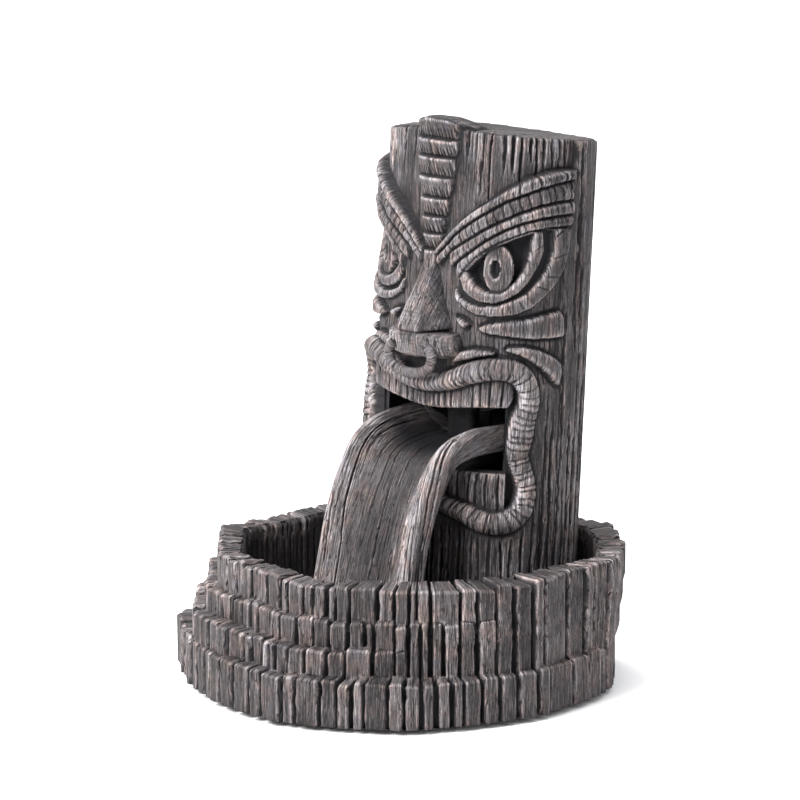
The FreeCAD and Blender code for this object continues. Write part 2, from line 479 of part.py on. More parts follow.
elbow = pipe(4.45)
collar = cyl(6.0, (0, PY, HOSE_Z1 + 0.1), (0, 0, 1), 1.6).fuse(cyl(6.0, (0, 29, ELBOW_Z), (0, 1, 0), 8.5))
elbow = elbow.fuse(collar).cut(pipe(3.1))
parts["spout_elbow"] = elbow
clip = tube(HOSE_OD_R + 1.5, HOSE_OD_R, (0, PY, HOSE_Z1 - 9), (0, 0, 1), 5.0)
clip = clip.fuse(box(-3.6, 3.6, PY + HOSE_OD_R + 0.4, PY + HOSE_OD_R + 5.5, HOSE_Z1 - 9, HOSE_Z1 - 4)).cut(box(-0.7, 0.7, PY + 2, PY + 20, HOSE_Z1 - 10, HOSE_Z1))
clip = clip.cut(cyl(HOSE_OD_R, (0, PY, HOSE_Z1 - 10), (0, 0, 1), 8))
parts["hose_clip"] = clip

os.makedirs("parts", exist_ok=True)
for f in os.listdir("parts"):
    if f.endswith(".step"):
        os.remove(os.path.join("parts", f))
for name, shape in sorted(parts.items()):
    s = shape.copy()
    s.translate(V(ORIGIN_X, ORIGIN_Y, 0))
    ok = s.isValid()
    bb = s.BoundBox
    print("%-18s solids %d valid %s vol %.1f  x %.1f..%.1f y %.1f..%.1f z %.1f..%.1f" % (
        name, len(s.Solids), ok, s.Volume, bb.XMin, bb.XMax, bb.YMin, bb.YMax, bb.ZMin, bb.ZMax))
    s.exportStep("parts/%s.step" % name)
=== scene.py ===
import bpy
import math
import numpy as np
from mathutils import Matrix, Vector


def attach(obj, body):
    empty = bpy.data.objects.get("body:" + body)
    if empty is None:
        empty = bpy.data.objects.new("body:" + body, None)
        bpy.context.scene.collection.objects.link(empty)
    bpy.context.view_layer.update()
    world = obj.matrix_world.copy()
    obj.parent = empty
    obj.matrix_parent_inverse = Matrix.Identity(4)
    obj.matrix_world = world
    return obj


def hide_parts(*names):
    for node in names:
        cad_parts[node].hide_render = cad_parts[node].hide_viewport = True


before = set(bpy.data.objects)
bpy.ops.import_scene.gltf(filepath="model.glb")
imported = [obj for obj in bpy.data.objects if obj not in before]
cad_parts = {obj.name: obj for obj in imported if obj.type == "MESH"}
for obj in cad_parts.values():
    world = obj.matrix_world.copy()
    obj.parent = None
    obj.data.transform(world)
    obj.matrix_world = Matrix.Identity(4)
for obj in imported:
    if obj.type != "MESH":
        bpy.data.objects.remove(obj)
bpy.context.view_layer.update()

MM = 0.001
OX, OY = 3.5, 10.25            # the model is worked out about the basin's centre, then moved


# ---------------------------------------------------------------- noise ----
def vnoise(x, y, seed, px=0):
    x = np.asarray(x, float)
    y = np.asarray(y, float)
    xi = np.floor(x).astype(np.int64)
    yi = np.floor(y).astype(np.int64)
    xf = x - xi
    yf = y - yi

    def h(a, b):
        if px:
            a = np.mod(a, px)
        n = (a * 374761393 + b * 668265263 + seed * 974634777) & 0xFFFFFFFF
        n = ((n ^ (n >> 13)) * 1274126177) & 0xFFFFFFFF
        n = n ^ (n >> 16)
        return (n & 0xFFFFFF) / 16777215.0
    u = xf * xf * (3 - 2 * xf)
    v = yf * yf * (3 - 2 * yf)
    return (h(xi, yi) * (1 - u) + h(xi + 1, yi) * u) * (1 - v) + (h(xi, yi + 1) * (1 - u) + h(xi + 1, yi + 1) * u) * v


def sstep(a, b, x):
    t = np.clip((x - a) / (b - a), 0, 1)
    return t * t * (3 - 2 * t)


def grain(a, b, seed, period=0.0):
    """Fibrous grain: quick change across a, slow along b. -1..1."""
    out = 0
    for k, (wa, wb, g) in enumerate(((1.5, 26.0, 0.34), (2.6, 44.0, 0.36), (5.5, 70.0, 0.30))):
        per = 0
        w = wa
        if period:
            per = int(round(period / wa))
            w = period / per
        out = out + g * (2 * vnoise(a / w, b / wb, seed + k, per) - 1)
    return out


def blur(h, ra, rb, wrap):
    """Box blur twice along columns (ra cells) and rows (rb cells); rows first axis."""
    def box(arr, r, axis, wr):
        if r < 1:
            return arr
        pad = [(0, 0), (0, 0)]
        pad[axis] = (r, r)
        p = np.pad(arr, pad, mode="wrap" if wr else "edge")
        c = np.cumsum(p, axis=axis)
        zero = np.zeros_like(np.take(c, [0], axis=axis))
        c = np.concatenate([zero, c], axis=axis)
        n = arr.shape[axis]
        hi = np.take(c, np.arange(2 * r + 1, 2 * r + 1 + n), axis=axis)
        lo = np.take(c, np.arange(0, n), axis=axis)
        return (hi - lo) / (2 * r + 1)
    for _ in range(2):
        h = box(h, ra, 1, wrap)
        h = box(h, rb, 0, False)
    return h


# ------------------------------------------------------------- geometry ----
def seg_d(px, py, a, b):
    dx, dy = b[0] - a[0], b[1] - a[1]
    L = dx * dx + dy * dy + 1e-12
    t = np.clip(((px - a[0]) * dx + (py - a[1]) * dy) / L, 0, 1)
    return np.hypot(px - a[0] - t * dx, py - a[1] - t * dy), t


def poly_sd(px, py, poly):
    """Signed distance to a closed outline, negative inside."""
    d = np.full(px.shape, 1e9)
    inside = np.zeros(px.shape, bool)
    n = len(poly)
    for i in range(n):
        a, b = poly[i], poly[(i + 1) % n]
        dd, _ = seg_d(px, py, a, b)
        d = np.minimum(d, dd)
        if a[1] != b[1]:
            cond = ((a[1] > py) != (b[1] > py)) & (px < (b[0] - a[0]) * (py - a[1]) / (b[1] - a[1]) + a[0])
            inside ^= cond
    return np.where(inside, -d, d)


def path_d(px, py, path):
    """Distance to an open path, arc position of the nearest point, and value of a third coordinate there."""
    d = np.full(px.shape, 1e9)
    s = np.zeros(px.shape)
    w = np.ones(px.shape)
    run = 0.0
    for a, b in zip(path[:-1], path[1:]):
        L = math.hypot(b[0] - a[0], b[1] - a[1])
        dd, t = seg_d(px, py, a, b)
        m = dd < d
        d = np.where(m, dd, d)
        s = np.where(m, run + t * L, s)
        w = np.where(m, a[2] + t * (b[2] - a[2]), w)
        run += L
    return d, s, w


def smooth_path(pts, n):
    """Catmull-Rom through the points."""
    P = np.array(pts, float)
    P = np.vstack([2 * P[0] - P[1], P, 2 * P[-1] - P[-2]])
    out = []
    m = len(P) - 3
    for i in range(m):
        for k in range(n):
            t = k / n
            p0, p1, p2, p3 = P[i], P[i + 1], P[i + 2], P[i + 3]
            out.append(0.5 * ((2 * p1) + (-p0 + p2) * t + (2 * p0 - 5 * p1 + 4 * p2 - p3) * t * t + (-p0 + 3 * p1 - 3 * p2 + p3) * t ** 3))
    out.append(P[-2])
    return np.array(out)


class Builder:
    """Collects vertices, quads and per-vertex data for one mesh."""

    def __init__(self):
        self.co, self.quads, self.mask, self.gc = [], [], [], []
        self.n = 0

    def verts(self, P, mask=None, gc=None):
        P = np.asarray(P, float).reshape(-1, 3)
        k = len(P)
        idx = np.arange(self.n, self.n + k)
        self.n += k
        self.co.append(P)
        m = np.zeros((k, 4)) + [0, 0.5, 0.5, 1] if mask is None else np.asarray(mask, float).reshape(-1, 4)
        g = P.copy() if gc is None else np.asarray(gc, float).reshape(-1, 3)
        self.mask.append(m)
        self.gc.append(g)
        return idx

    def quad(self, q):
        q = np.asarray(q, np.int64).reshape(-1, 4)
        if len(q):
            self.quads.append(q)

    def grid(self, idx, wrap=False, keep=None, flip=False):
        """idx: rows x cols vertex numbers. keep: rows-1 x cols(-1) mask."""
        a = idx
        b = np.roll(a, -1, axis=1) if wrap else a[:, 1:]
        a2 = a if wrap else a[:, :-1]
        q = np.stack([a2[:-1], b[:-1], b[1:], a2[1:]], axis=-1)
        if keep is not None:
            q = q[keep]
        q = q.reshape(-1, 4)
        if flip:
            q = q[:, ::-1]
        self.quad(q)

    def mesh(self, name):
        co = np.vstack(self.co)
        q = np.vstack(self.quads)
        # quads with two equal corners become triangles
        tri = (q[:, 0] == q[:, 1]) | (q[:, 1] == q[:, 2]) | (q[:, 2] == q[:, 3]) | (q[:, 3] == q[:, 0])
        Q = q[~tri]
        T = []
        for r in q[tri]:
            u = list(dict.fromkeys(int(v) for v in r))
            if len(u) == 3:
                T.append(u)
        T = np.array(T, np.int64).reshape(-1, 3)
        used = np.unique(np.concatenate([Q.ravel(), T.ravel()]))
        remap = np.full(len(co), -1, np.int64)
        remap[used] = np.arange(len(used))
        Q, T = remap[Q], remap[T]
        co = (co[used] + [OX, OY, 0]) * MM
        me = bpy.data.meshes.new(name)
        me.vertices.add(len(co))
        me.vertices.foreach_set("co", co.astype(np.float32).ravel())
        loops = np.concatenate([Q.ravel(), T.ravel()]).astype(np.int32)
        me.loops.add(len(loops))
        me.loops.foreach_set("vertex_index", loops)
        nq, nt = len(Q), len(T)
        me.polygons.add(nq + nt)
        starts = np.concatenate([np.arange(nq) * 4, nq * 4 + np.arange(nt) * 3]).astype(np.int32)
        me.polygons.foreach_set("loop_start", starts)
        me.update(calc_edges=True)
        me.validate()
        me.polygons.foreach_set("use_smooth", np.ones(len(me.polygons), bool))
        at = me.attributes.new("Mask", "FLOAT_COLOR", "POINT")
        at.data.foreach_set("color", np.vstack(self.mask)[used].astype(np.float32).ravel())
        at = me.attributes.new("gc", "FLOAT_VECTOR", "POINT")
        at.data.foreach_set("vector", np.vstack(self.gc)[used].astype(np.float32).ravel())
        ob = bpy.data.objects.new(name, me)
        bpy.context.scene.collection.objects.link(ob)
        return ob


def masks(h, wrap, fine=(2, 2), coarse=(7, 7), dark=None, rnd=None, gain=0.9):
    """Cavity, worn edge and plank tone from a displacement grid."""
    f = blur(h, fine[0], fine[1], wrap)
    c = blur(h, coarse[0], coarse[1], wrap)
    edge = np.clip(0.5 + np.clip((h - f) * gain * 0.8, -0.4, 0.22) + np.clip((h - c) * 0.06 * gain, -0.25, 0.10), 0, 1)
    cav = sstep(1.2, 4.2, (c - h)) * 0.55 + sstep(0.12, 0.8, (f - h)) * 0.62
    if dark is not None:
        cav = np.maximum(cav, dark)
    cav = np.clip(cav, 0, 1)
    r = np.full(h.shape, 0.5) if rnd is None else rnd
    return np.stack([cav, edge, r, np.ones_like(h)], axis=-1)


def crack(H, a, b, pos, width, depth, b0, b1, seed, wob=1.2, wlen=30.0, fade=6.0, period=0.0):
    """Cuts one crack that runs along b at position pos across a."""
    lo, hi = min(b0, b1), max(b0, b1)
    c = pos + wob * (2 * vnoise(b / wlen, 0 * b + 0.5, seed) - 1) + 0.35 * (2 * vnoise(b / 5.0, 0 * b + 0.5, seed + 3) - 1)
    d = a - c
    if period:
        d = (d + period / 2) % period - period / 2
    w = width * (0.65 + 0.7 * vnoise(b / 9.0, 0 * b + 0.5, seed + 5))
    t = np.clip((b - lo) / fade, 0, 1) * np.clip((hi - b) / fade, 0, 1)
    w = w * (0.35 + 0.65 * t)
    g = np.clip(1 - np.abs(d) / np.maximum(w, 1e-3), 0, 1)
    cut = depth * t * np.minimum(1.0, g * 1.7)
    return H - cut


# ---------------------------------------------------------------- column ---
A, BF, BR, PW, LEAN = 60.0, 42.0, 40.0, 3.0, 0.06


def yc(z):
    return 54.0 - LEAN * (300.0 - z)


_t = np.linspace(-math.pi, math.pi, 40001)
_s, _c = np.sin(_t), np.cos(_t)
_x = np.sign(_s) * A * np.abs(_s) ** (2 / PW)
_y = np.where(_c > 0, -BF, BR) * np.abs(_c) ** (2 / PW)
_arc = np.concatenate([[0], np.cumsum(np.hypot(np.diff(_x), np.diff(_y)))])
_arc -= _arc[-1] / 2
HALF = _arc[-1]


def col_xy(u, off=0.0):
    x = np.interp(u, _arc, _x)
    y = np.interp(u, _arc, _y)
    b = np.where(y < 0, BF, BR)
    nx = np.sign(x) * (np.abs(x) / A) ** (PW - 1) / A
    ny = np.sign(y) * (np.abs(y) / b) ** (PW - 1) / b
    L = np.hypot(nx, ny) + 1e-12
    nx, ny = nx / L, ny / L
    return x + nx * off, y + ny * off, nx, ny


def u_at_x(x):
    m = (_arc >= 0) & (_y < 0)
    return float(np.interp(x, _x[m], _arc[m]))


def u_at_y(y):
    m = (_arc >= 0)
    return float(np.interp(y, _y[m], _arc[m]))


B1U = [(0, 229), (5, 233.6), (11, 240.3), (17.6, 247), (23.3, 251.8), (28.8, 256.2), (37.8, 261.9), (48.3, 269), (59.6, 274.6), (72.3, 277.3), (83.9, 277.6), (91.1, 276.5)]
B1L = [(0, 225), (5.9, 231.3), (10.5, 234.9), (17.9, 242.3), (23.6, 247.1), (33, 253.3), (40.5, 258), (48.6, 262.8), (58.8, 266.9), (65.9, 269.2), (76.3, 271), (92.7, 271.6)]
B2L = [(0, 219), (6.3, 224.8), (11.7, 229.4), (16.8, 234.4), (22.6, 238.1), (30.8, 243.3), (37.2, 247.4), (43.3, 250.5), (54.6, 256.1), (66.4, 259.8), (77, 260.9), (90.5, 260.9)]
B3L = [(16.5, 225.5), (23, 230.7), (31.2, 236.6), (37.5, 241.3), (43.5, 244.9), (49.3, 248.1), (58.3, 251.6), (66.8, 253.3), (77.4, 253.7), (90.6, 253.4)]
B4L = [(20.7, 219.4), (25.4, 225.9), (31.4, 231.6), (37.7, 236.2), (44.9, 240.3), (52.9, 243.7), (60.9, 246.5), (71.1, 247.5), (89.3, 247.1)]
EYE = [(24.3, 223.7), (31.2, 230.6), (37.8, 235.4), (45.2, 239.4), (53.4, 242.9), (64.1, 245.8), (63.8, 237.9), (62.3, 230.9), (59.5, 225.1), (55.6, 219.8), (51.1, 216.2), (47.6, 214.3), (41.5, 213.4), (35.5, 214.1), (30.6, 216.6), (26.7, 220.4)]
RING1 = [(69.3, 246.3), (70.6, 236.2), (68.8, 230.4), (65.8, 225.3), (61.6, 219), (56.5, 213.9), (50.2, 210.3), (43, 207.9), (35.2, 208.1), (28.7, 210.5), (24.2, 213.6), (22.0, 218.6)]
RING2IN = [(75.6, 246), (75.8, 236.8), (74.3, 229.9), (70.6, 223.7), (66.1, 218.8), (60.7, 213.8), (53.7, 210.3), (45.5, 207.1), (35.9, 206.4), (28.9, 207.5), (22.9, 209.9), (20.5, 214)]
RING2OUT = [(89.0, 246), (87.6, 234.3), (84.8, 225.1), (78.6, 217.5), (72, 211.7), (63.5, 205.9), (55.2, 202.6), (43.3, 201.3), (34.1, 201.5), (27.7, 203.8), (21.5, 207.4), (19.5, 210)]
CHEEK1 = [(35.1, 194.9), (41.4, 197.6), (53.3, 199.5), (60.2, 199.9), (70.1, 201.4), (82.7, 202.9), (85.6, 199), (86.6, 190.0), (85.2, 188.4), (67.7, 189.1), (53.7, 190.8), (45.6, 191.7), (39.4, 192.3), (37, 193.2)]
CHEEK2 = [(50.8, 183.7), (52.9, 185.1), (62, 185.1), (71.1, 182.7), (80.5, 178.3), (85.3, 174.4), (86.4, 169.9), (84.6, 162.4), (81.5, 163.4), (78.3, 167.7), (71.7, 172.9), (65.3, 177.3), (58.4, 180.9), (51.4, 183.2)]
RIDGE = [(20.3, 176.3), (25.3, 181.3), (33.3, 183.3), (43.1, 183), (45.3, 182.3), (45.4, 181), (37.7, 179.3), (28.7, 176.8), (21, 174.7)]
DROP = [(20.6, 199.1), (24, 198.9), (29.4, 196.3), (27, 193.8), (24.2, 195.1)]
LIP = [(0, 161.8, 5.0), (7, 162.4, 5.1), (14.6, 164.1, 5.3), (22.5, 166.3, 5.7), (29.8, 169.5, 5.9), (36.7, 171.8, 6.1), (46.2, 173.6, 6.0), (53.4, 173.1, 6.0), (59.2, 170.6, 6.2), (63.2, 165.0, 6.0), (65.0, 158.4, 5.6), (64.2, 152, 6.2), (62.1, 145.0, 6.8), (61.0, 136.7, 6.9), (60.0, 128.7, 5.9), (61.6, 122.6, 5.6), (64.2, 115.7, 5.2), (65.6, 109, 5.2), (65.2, 103.0, 5.6), (63.2, 97.6, 6.0), (58.8, 93.2, 6.2), (52.6, 90.9, 6.3), (46.5, 90.8, 6.1), (40.5, 92.3, 6.0), (34.5, 94.4, 5.7), (28.2, 96.2, 5.2), (20, 98.0, 4.8), (10, 99.2, 4.5), (0, 99.6, 4.4)]
MOUTH = [(0, 160), (14, 161), (26, 164), (38, 168), (49, 170), (58, 167), (62, 158), (60, 148), (57, 138), (56, 128), (58, 118), (61, 108), (59.5, 100), (52, 95), (42, 95.5), (30, 98.5), (0, 101.5)]
SCALES = [(303.5, 15.4, 291.6, 14.6), (291.6, 14.8, 282.3, 13.6), (282.3, 13.8, 271.2, 11.8), (271.2, 12.2, 260.3, 9.6), (260.3, 10.2, 250.5, 8.0), (250.5, 8.6, 241.4, 6.1), (241.4, 6.8, 232.6, 4.7)]


def curve_z(curve, u):
    return np.interp(u, [p[0] for p in curve], [p[1] for p in curve])


def pillow(d, r, amp):
    """Rounded swelling that reaches amp at distance r inside an edge."""
    t = np.clip(d / r, 0, 1)
    return amp * np.sqrt(np.clip(1 - (1 - t) ** 2, 0, 1))


def ticks(s, seed, mean, width, length=400.0):
    """Irregular cross cuts along s: 0..1 cut shape, and the cell's random value."""
    rs = np.random.RandomState(seed)
    pos = [0.0]
    while pos[-1] < length:
        pos.append(pos[-1] + mean * (0.6 + 0.8 * rs.rand()))
    pos = np.array(pos)
    st = 0.5 + 0.5 * rs.rand(len(pos))
    k = np.clip(np.searchsorted(pos, s), 1, len(pos) - 1)
    dl, dr = s - pos[k - 1], pos[k] - s
    d = np.minimum(dl, dr)
    strong = np.where(dl < dr, st[k - 1], st[k])
    cut = np.clip(1 - d / width, 0, 1) * strong
    cell = rs.rand(len(pos) + 1)[k]
    mid = np.clip(2 * d / np.maximum(pos[k] - pos[k - 1], 1e-6), 0, 1)
    return cut, cell, mid


def face_height(us, z):
    """Displacement of the column's surface and a dark mask (dark paint and painted shade), on matching arrays."""
    u = np.abs(us)
    side = np.where(us < 0, 1000.0, 0.0)
    H = np.zeros(u.shape)
    dark = np.zeros(u.shape)
    rnd = vnoise(us / 7.0, z / 90.0, 91)
    # log surface: fibres, shallow ridges
    g = grain(us, z, 11)
    H += 0.42 * g + 0.7 * (vnoise(us / 9.0, z / 120.0, 21) - 0.5)
    zb1, zb1l, zb2, zb3, zb4 = (curve_z(c, u) for c in (B1U, B1L, B2L, B3L, B4L))
    # forehead, cut back above the brow
    fore = (z > zb1) & (u < 93)
    H = np.where(fore, H - 4.0 + 0.5 * (vnoise(us / 4.0, z / 60.0, 33) - 0.5), H)
    H = np.where(fore & (u > 13), H - 0.8 * np.exp(-((z - zb1) / 2.2)), H)
    # face ground
    face = (z <= zb1) & (z > 162) & (u < 86.5)
    ground = np.where(face, sstep(0.0, 3.0, 86.5 - u) * sstep(162, 168, z), 0)
    H -= 1.7 * ground
    # brow bands
    specs = ((zb1, zb1l, 2.4, 1.0, 3, 5.0, 0.55, 5.0), (zb1l, zb2, 1.3, 1.9, 5, 4.6, 1.0, 6.0), (zb2, zb3, 2.2, 1.0, 7, 5.2, 0.8, 16.0), (zb3, zb4, 1.2, 1.0, 9, 5.4, 0.8, 20.5))
    slope = np.sqrt(1 + np.gradient(zb2, axis=-1) ** 2) if u.ndim > 1 else 1.0
    run = u * 1.12
    for k, (top, low, lvl, amp, seed, pitch, cutd, u0) in enumerate(specs):
        inside = (z <= top) & (z > low) & (u > u0) & (u < 90)
        c = 1 / math.hypot(1, 0.62)
        cosa = np.where(u < 55, c, np.where(u < 70, 0.93, 1.0))
        dt, dl = (top - z) * cosa, (z - low) * cosa
        half = np.maximum((top - low) * cosa / 2, 0.5)
        d = np.minimum(dt, dl)
        tilt = (z - low) / np.maximum(top - low, 0.5)
        cut, cell, mid = ticks(run + 0.35 * (z - low) + (side > 0) * 3.3 + 0.7 * vnoise(z / 3.0, u / 9.0, 50 + k), seed + (side.max() > 0), pitch, 0.55)
        h = lvl - 1.2 + pillow(d, np.minimum(half, 2.6), 1.2) + 0.55 * amp * np.sin(np.clip(tilt, 0, 1) * math.pi)
        h = h - cutd * cut - 0.35 * (1 - np.sqrt(np.clip(1 - (1 - mid) ** 2, 0, 1))) * amp + 0.5 * (cell - 0.5) * amp
        h = h - 1.6 * np.exp(-(d / 0.75) ** 2)
        endu = np.clip((90 - u) / 1.6, 0, 1)
        h = h * endu + (1 - endu) * -0.8
        h = h + 0.18 * g
        H = np.where(inside, h, H)
        # painted contact shade: each band's edges are darkened where it meets the face
        dark = np.where(inside & (d < 0.7), 0.45, dark)
        rnd = np.where(inside, 0.25 + 0.5 * cell, rnd)
    # eye rings
    def lid(c):
        return [(p[0], p[1]) for p in c]
    ring1 = [(20.7, 219.4), (25.4, 225.9), (31.4, 231.6), (37.7, 236.2), (44.9, 240.3), (52.9, 243.7), (60.9, 246.5)] + lid(RING1)
    ring2 = [(20.0, 218.4), (25.4, 225.9), (31.4, 231.6), (37.7, 236.2), (44.9, 240.3), (52.9, 243.7), (60.9, 246.5), (71.1, 247.5)] + lid(RING2IN)
    ring3 = ring2[:8] + [(80, 247.3)] + lid(RING2OUT)
    zone = (u > 15) & (u < 93) & (z > 197) & (z < 250)
    zu, zz = u[zone], z[zone]
    below = zz <= zb4[zone] + 0.0
    d1, d2, d3, de = (poly_sd(zu, zz, p) for p in (ring1, ring2, ring3, EYE))
    h = H[zone]
    dk = dark[zone]
    rr = rnd[zone]
    ang = np.arctan2(zz - 226, zu - 46) * 24
    cut, cell, mid = ticks(ang + 120, 13 + (side.max() > 0), 6.5, 0.6)
    # outer ring
    e = np.minimum(-d3, d2)
    m = (d3 < 0) & (d2 >= 0) & below
    h = np.where(m, -0.2 + pillow(e, 3.2, 2.2) - 0.9 * cut * sstep(0.3, 2.0, e) + 0.15 * g[zone] + 0.3 * (cell - 0.5), h)
    rr = np.where(m, 0.3 + 0.4 * cell, rr)
    # groove
    m = (d2 < 0) & (d1 >= 0) & below
    h = np.where(m, -3.2, h)
    dk = np.where(m, 0.95, dk)
    # inner ring
    e = np.minimum(-d1, de)
    m = (d1 < 0) & (de >= 0) & below
    h = np.where(m, -1.6 + pillow(e, 2.2, 1.9) - 0.5 * cut * sstep(0.3, 1.6, e) + 0.12 * g[zone], h)
    rr = np.where(m, 0.3 + 0.4 * cell, rr)
    # socket and pupil
    m = (de < 0)
    h = np.where(m, -1.6 - 8.4 * sstep(0.0, 1.5, -de), h)
    dk = np.where(m & (-de > 0.5), 1.0, dk)
    q = np.hypot((zu - 44.4) / 9.4, (zz - 225.9) / 12.9)
    qh = np.hypot((zu - 42.8) / 2.9, (zz - 226.2) / 4.7)
    m = (q < 1) & (de < 0.3)
    hp = -3.2 + 1.3 * np.sqrt(np.clip(1 - q ** 2, 0, 1)) + 0.35 * np.exp(-((qh - 1.35) / 0.25) ** 2) + 0.15 * grain(zu, zz, 71)
    hp = np.where(qh < 1, -5.5, hp)
    h = np.where(m, hp, h)
    dk = np.where(m, np.where(qh < 0.95, 0.85, 0.0), dk)
    rr = np.where(m, 0.62, rr)
    H[zone], dark[zone], rnd[zone] = h, dk, rr
    # cheek pieces
    for poly, lvl, rad, seed, pitch, cd, skew in ((CHEEK1, 2.2, 2.4, 31, 4.4, 1.0, 0.08), (CHEEK2, 2.2, 2.6, 33, 3.8, 0.8, 0.2), (RIDGE, 3.0, 2.0, 35, 2.6, 1.3, 0.3), (DROP, 2.4, 1.6, 37, 9.0, 0.4, 0.0)):
        xs, zs = [p[0] for p in poly], [p[1] for p in poly]
        zone = (u > min(xs) - 4) & (u < max(xs) + 4) & (z > min(zs) - 4) & (z < max(zs) + 4)
        d = poly_sd(u[zone], z[zone], poly)
        cut, cell, mid = ticks(u[zone] + skew * (z[zone] - 190) + 0.5 * vnoise(z[zone] / 2.5, u[zone] / 9, 60), seed + (side.max() > 0), pitch, 0.5)
        deep = vnoise(u[zone] / 2.2, 0 * d + seed, 66)
        depth = sstep(0.2, 1.0, 1 - np.abs(-d) / (2.0 + 6.0 * deep))
        h = H[zone]
        inn = d < 0
        hh = -0.6 + pillow(-d, rad, lvl + 0.6) - cd * cut * depth + 0.14 * g[zone] + 0.25 * (cell - 0.5)
        h = np.where(inn, hh, h - 1.3 * np.exp(-(np.maximum(d, 0) / 1.6) ** 2))
        H[zone] = h
        # painted contact shade: the ground just outside each piece is darkened
        dk = dark[zone]
        dark[zone] = np.where(inn, 0.0, np.maximum(dk, 0.75 * np.exp(-(np.maximum(d, 0) / 2.0) ** 2)))
        rr = rnd[zone]
        rnd[zone] = np.where(inn, 0.35 + 0.4 * cell, rr)
    # mouth recess, teeth, lip roll
    lip = smooth_path(LIP, 3)
    zone = (u < 84) & (z > 78) & (z < 190)
    zu, zz = u[zone], z[zone]
    dl, sl, wl = path_d(zu, zz, lip)
    dm = poly_sd(zu, zz, MOUTH)
    h, dk, rr = H[zone], dark[zone], rnd[zone]
    us_z = us[zone]
    inm = dm < 0
    # painted shade: the mouth recess is darkened near black
    h = np.where(inm, -6.2, h)
    dk = np.where(inm, 0.9, dk)
    tz = us_z + 1.0 * vnoise(zz / 9.0, us_z / 12.0, 75)
    cut, cell, mid = ticks(tz + 150, 41, 5.6, 0.85)
    fine, fcell, _ = ticks(tz + 150, 43, 2.3, 0.35)
    limu = 54.5 + 3.0 * sstep(152, 160, zz)
    zlow = 152.0 - tooth_drop(zu)
    up = inm & (zz > zlow + 0.6) & (zu < limu)
    lo = inm & (zz < 116.9) & (zu < limu)
    th = -2.2 + 1.1 * np.sqrt(mid) - 3.4 * cut - 0.4 * fine + 0.4 * (cell - 0.5)
    rnd_edge_up = np.sqrt(np.clip((zz - zlow - 0.4) / 2.0, 0, 1))
    rnd_edge_lo = np.sqrt(np.clip((117.1 - zz) / 2.0, 0, 1))
    h = np.where(up, th * rnd_edge_up - 3.0 * (1 - rnd_edge_up), h)
    h = np.where(lo, th * rnd_edge_lo - 3.0 * (1 - rnd_edge_lo), h)
    dk = np.where(up | lo, 0.85 * sstep(0.4, 0.9, cut), dk)
    rr = np.where(up | lo, 0.35 + 0.45 * cell, rr)
    # contact shade round the lip
    near = np.exp(-(np.maximum(dl - wl, 0) / 1.8) ** 2)
    h = np.where(dl >= wl, h - 1.2 * near * (~(up | lo)), h)
    dk = np.where(dl >= wl, np.maximum(dk, 0.6 * near * (~(up | lo))), dk)
    q = np.clip(dl / wl, 0, 1)
    bend = sl + 1.1 * (1 - q ** 2) * np.sin(sl / 17.0) + (us_z < 0) * 2.7
    c1, cell, mid = ticks(bend + 0.8 * vnoise(sl / 6, dl / 2.0, 77), 45, 4.1, 0.8)
    c2, _, _ = ticks(bend, 47, 1.9, 0.35)
    roll = -1.0 + 7.1 * np.sqrt(np.clip(1 - q ** 2, 0, 1))
    hl = roll - (0.35 + 0.65 * sstep(0.15, 0.6, q)) * (1.15 * c1 + 0.30 * c2) - 0.45 * (1 - np.sqrt(np.clip(mid, 0, 1))) + 0.35 * (cell - 0.5)
    m = dl < wl
    h = np.where(m, np.maximum(hl, -1.5), h)
    dk = np.where(m, 0.55 * sstep(0.5, 0.95, c1) * sstep(0.2, 0.7, q), dk)
    rr = np.where(m, 0.45 + 0.35 * cell, rr)
    H[zone], dark[zone], rnd[zone] = h, dk, rr
    # crest of overlapping scales
    zone = (u < 18) & (z > 222)
    uu, zz = u[zone], z[zone]
    uz = us[zone]
    h, dk, rr = H[zone], dark[zone], rnd[zone]
    for i, (zt, wt, zb, wb) in enumerate(SCALES):
        t = np.clip((zt - zz) / (zt - zb), 0, 1)
        w = wt + (wb - wt) * t + 0.5 * np.sin(t * math.pi)
        m = (zz <= zt) & (zz > zb) & (uu < w)
        arc = np.sqrt(np.clip(1 - (uu / w) ** 2 * 0.92, 0, 1))
        fr, cell, mid = ticks(uz * (1 + 0.15 * (1 - t)) + 60 + 0.5 * vnoise(zz / 3, uz / 5, 80 + i), 51 + i, 2.1, 0.62)
        fringe = sstep(0.34, 0.62, t + 0.12 * (vnoise(uz / 1.8, zz * 0 + i, 83) - 0.5))
        hh = -3.4 + 5.6 * arc * (1 - 0.62 * t ** 1.6) + 0.5 * np.exp(-((t - 0.1) / 0.12) ** 2)
        hh = hh - 1.7 * fr * fringe - 0.9 * sstep(0.88, 1.0, t)
        hh = hh + 0.12 * g[zone]
        h = np.where(m, hh, h)
        # painted shadow along each scale's lower edge and beside each scale; the fringe cuts are darkened too
        dk = np.where(m, np.maximum(0.9 * fringe * sstep(0.35, 0.9, fr), 0.75 * sstep(0.9, 1.0, t)), dk)
        rr = np.where(m, 0.6 - 0.3 * t, rr)
        edge = (zz <= zt) & (zz > zb) & (uu >= w)
        dk = np.where(edge, np.maximum(dk, 0.55 * np.exp(-((uu - w) / 1.5) ** 2)), dk)
    m = (zz <= 232.6) & (uu < 4.6)
    arc = np.sqrt(np.clip(1 - (uu / 4.6) ** 2, 0, 1))
    h = np.where(m, -1.0 + 3.6 * arc, h)
    dk = np.where(m, 0.1, dk)
    H[zone], dark[zone], rnd[zone] = h, dk, rr
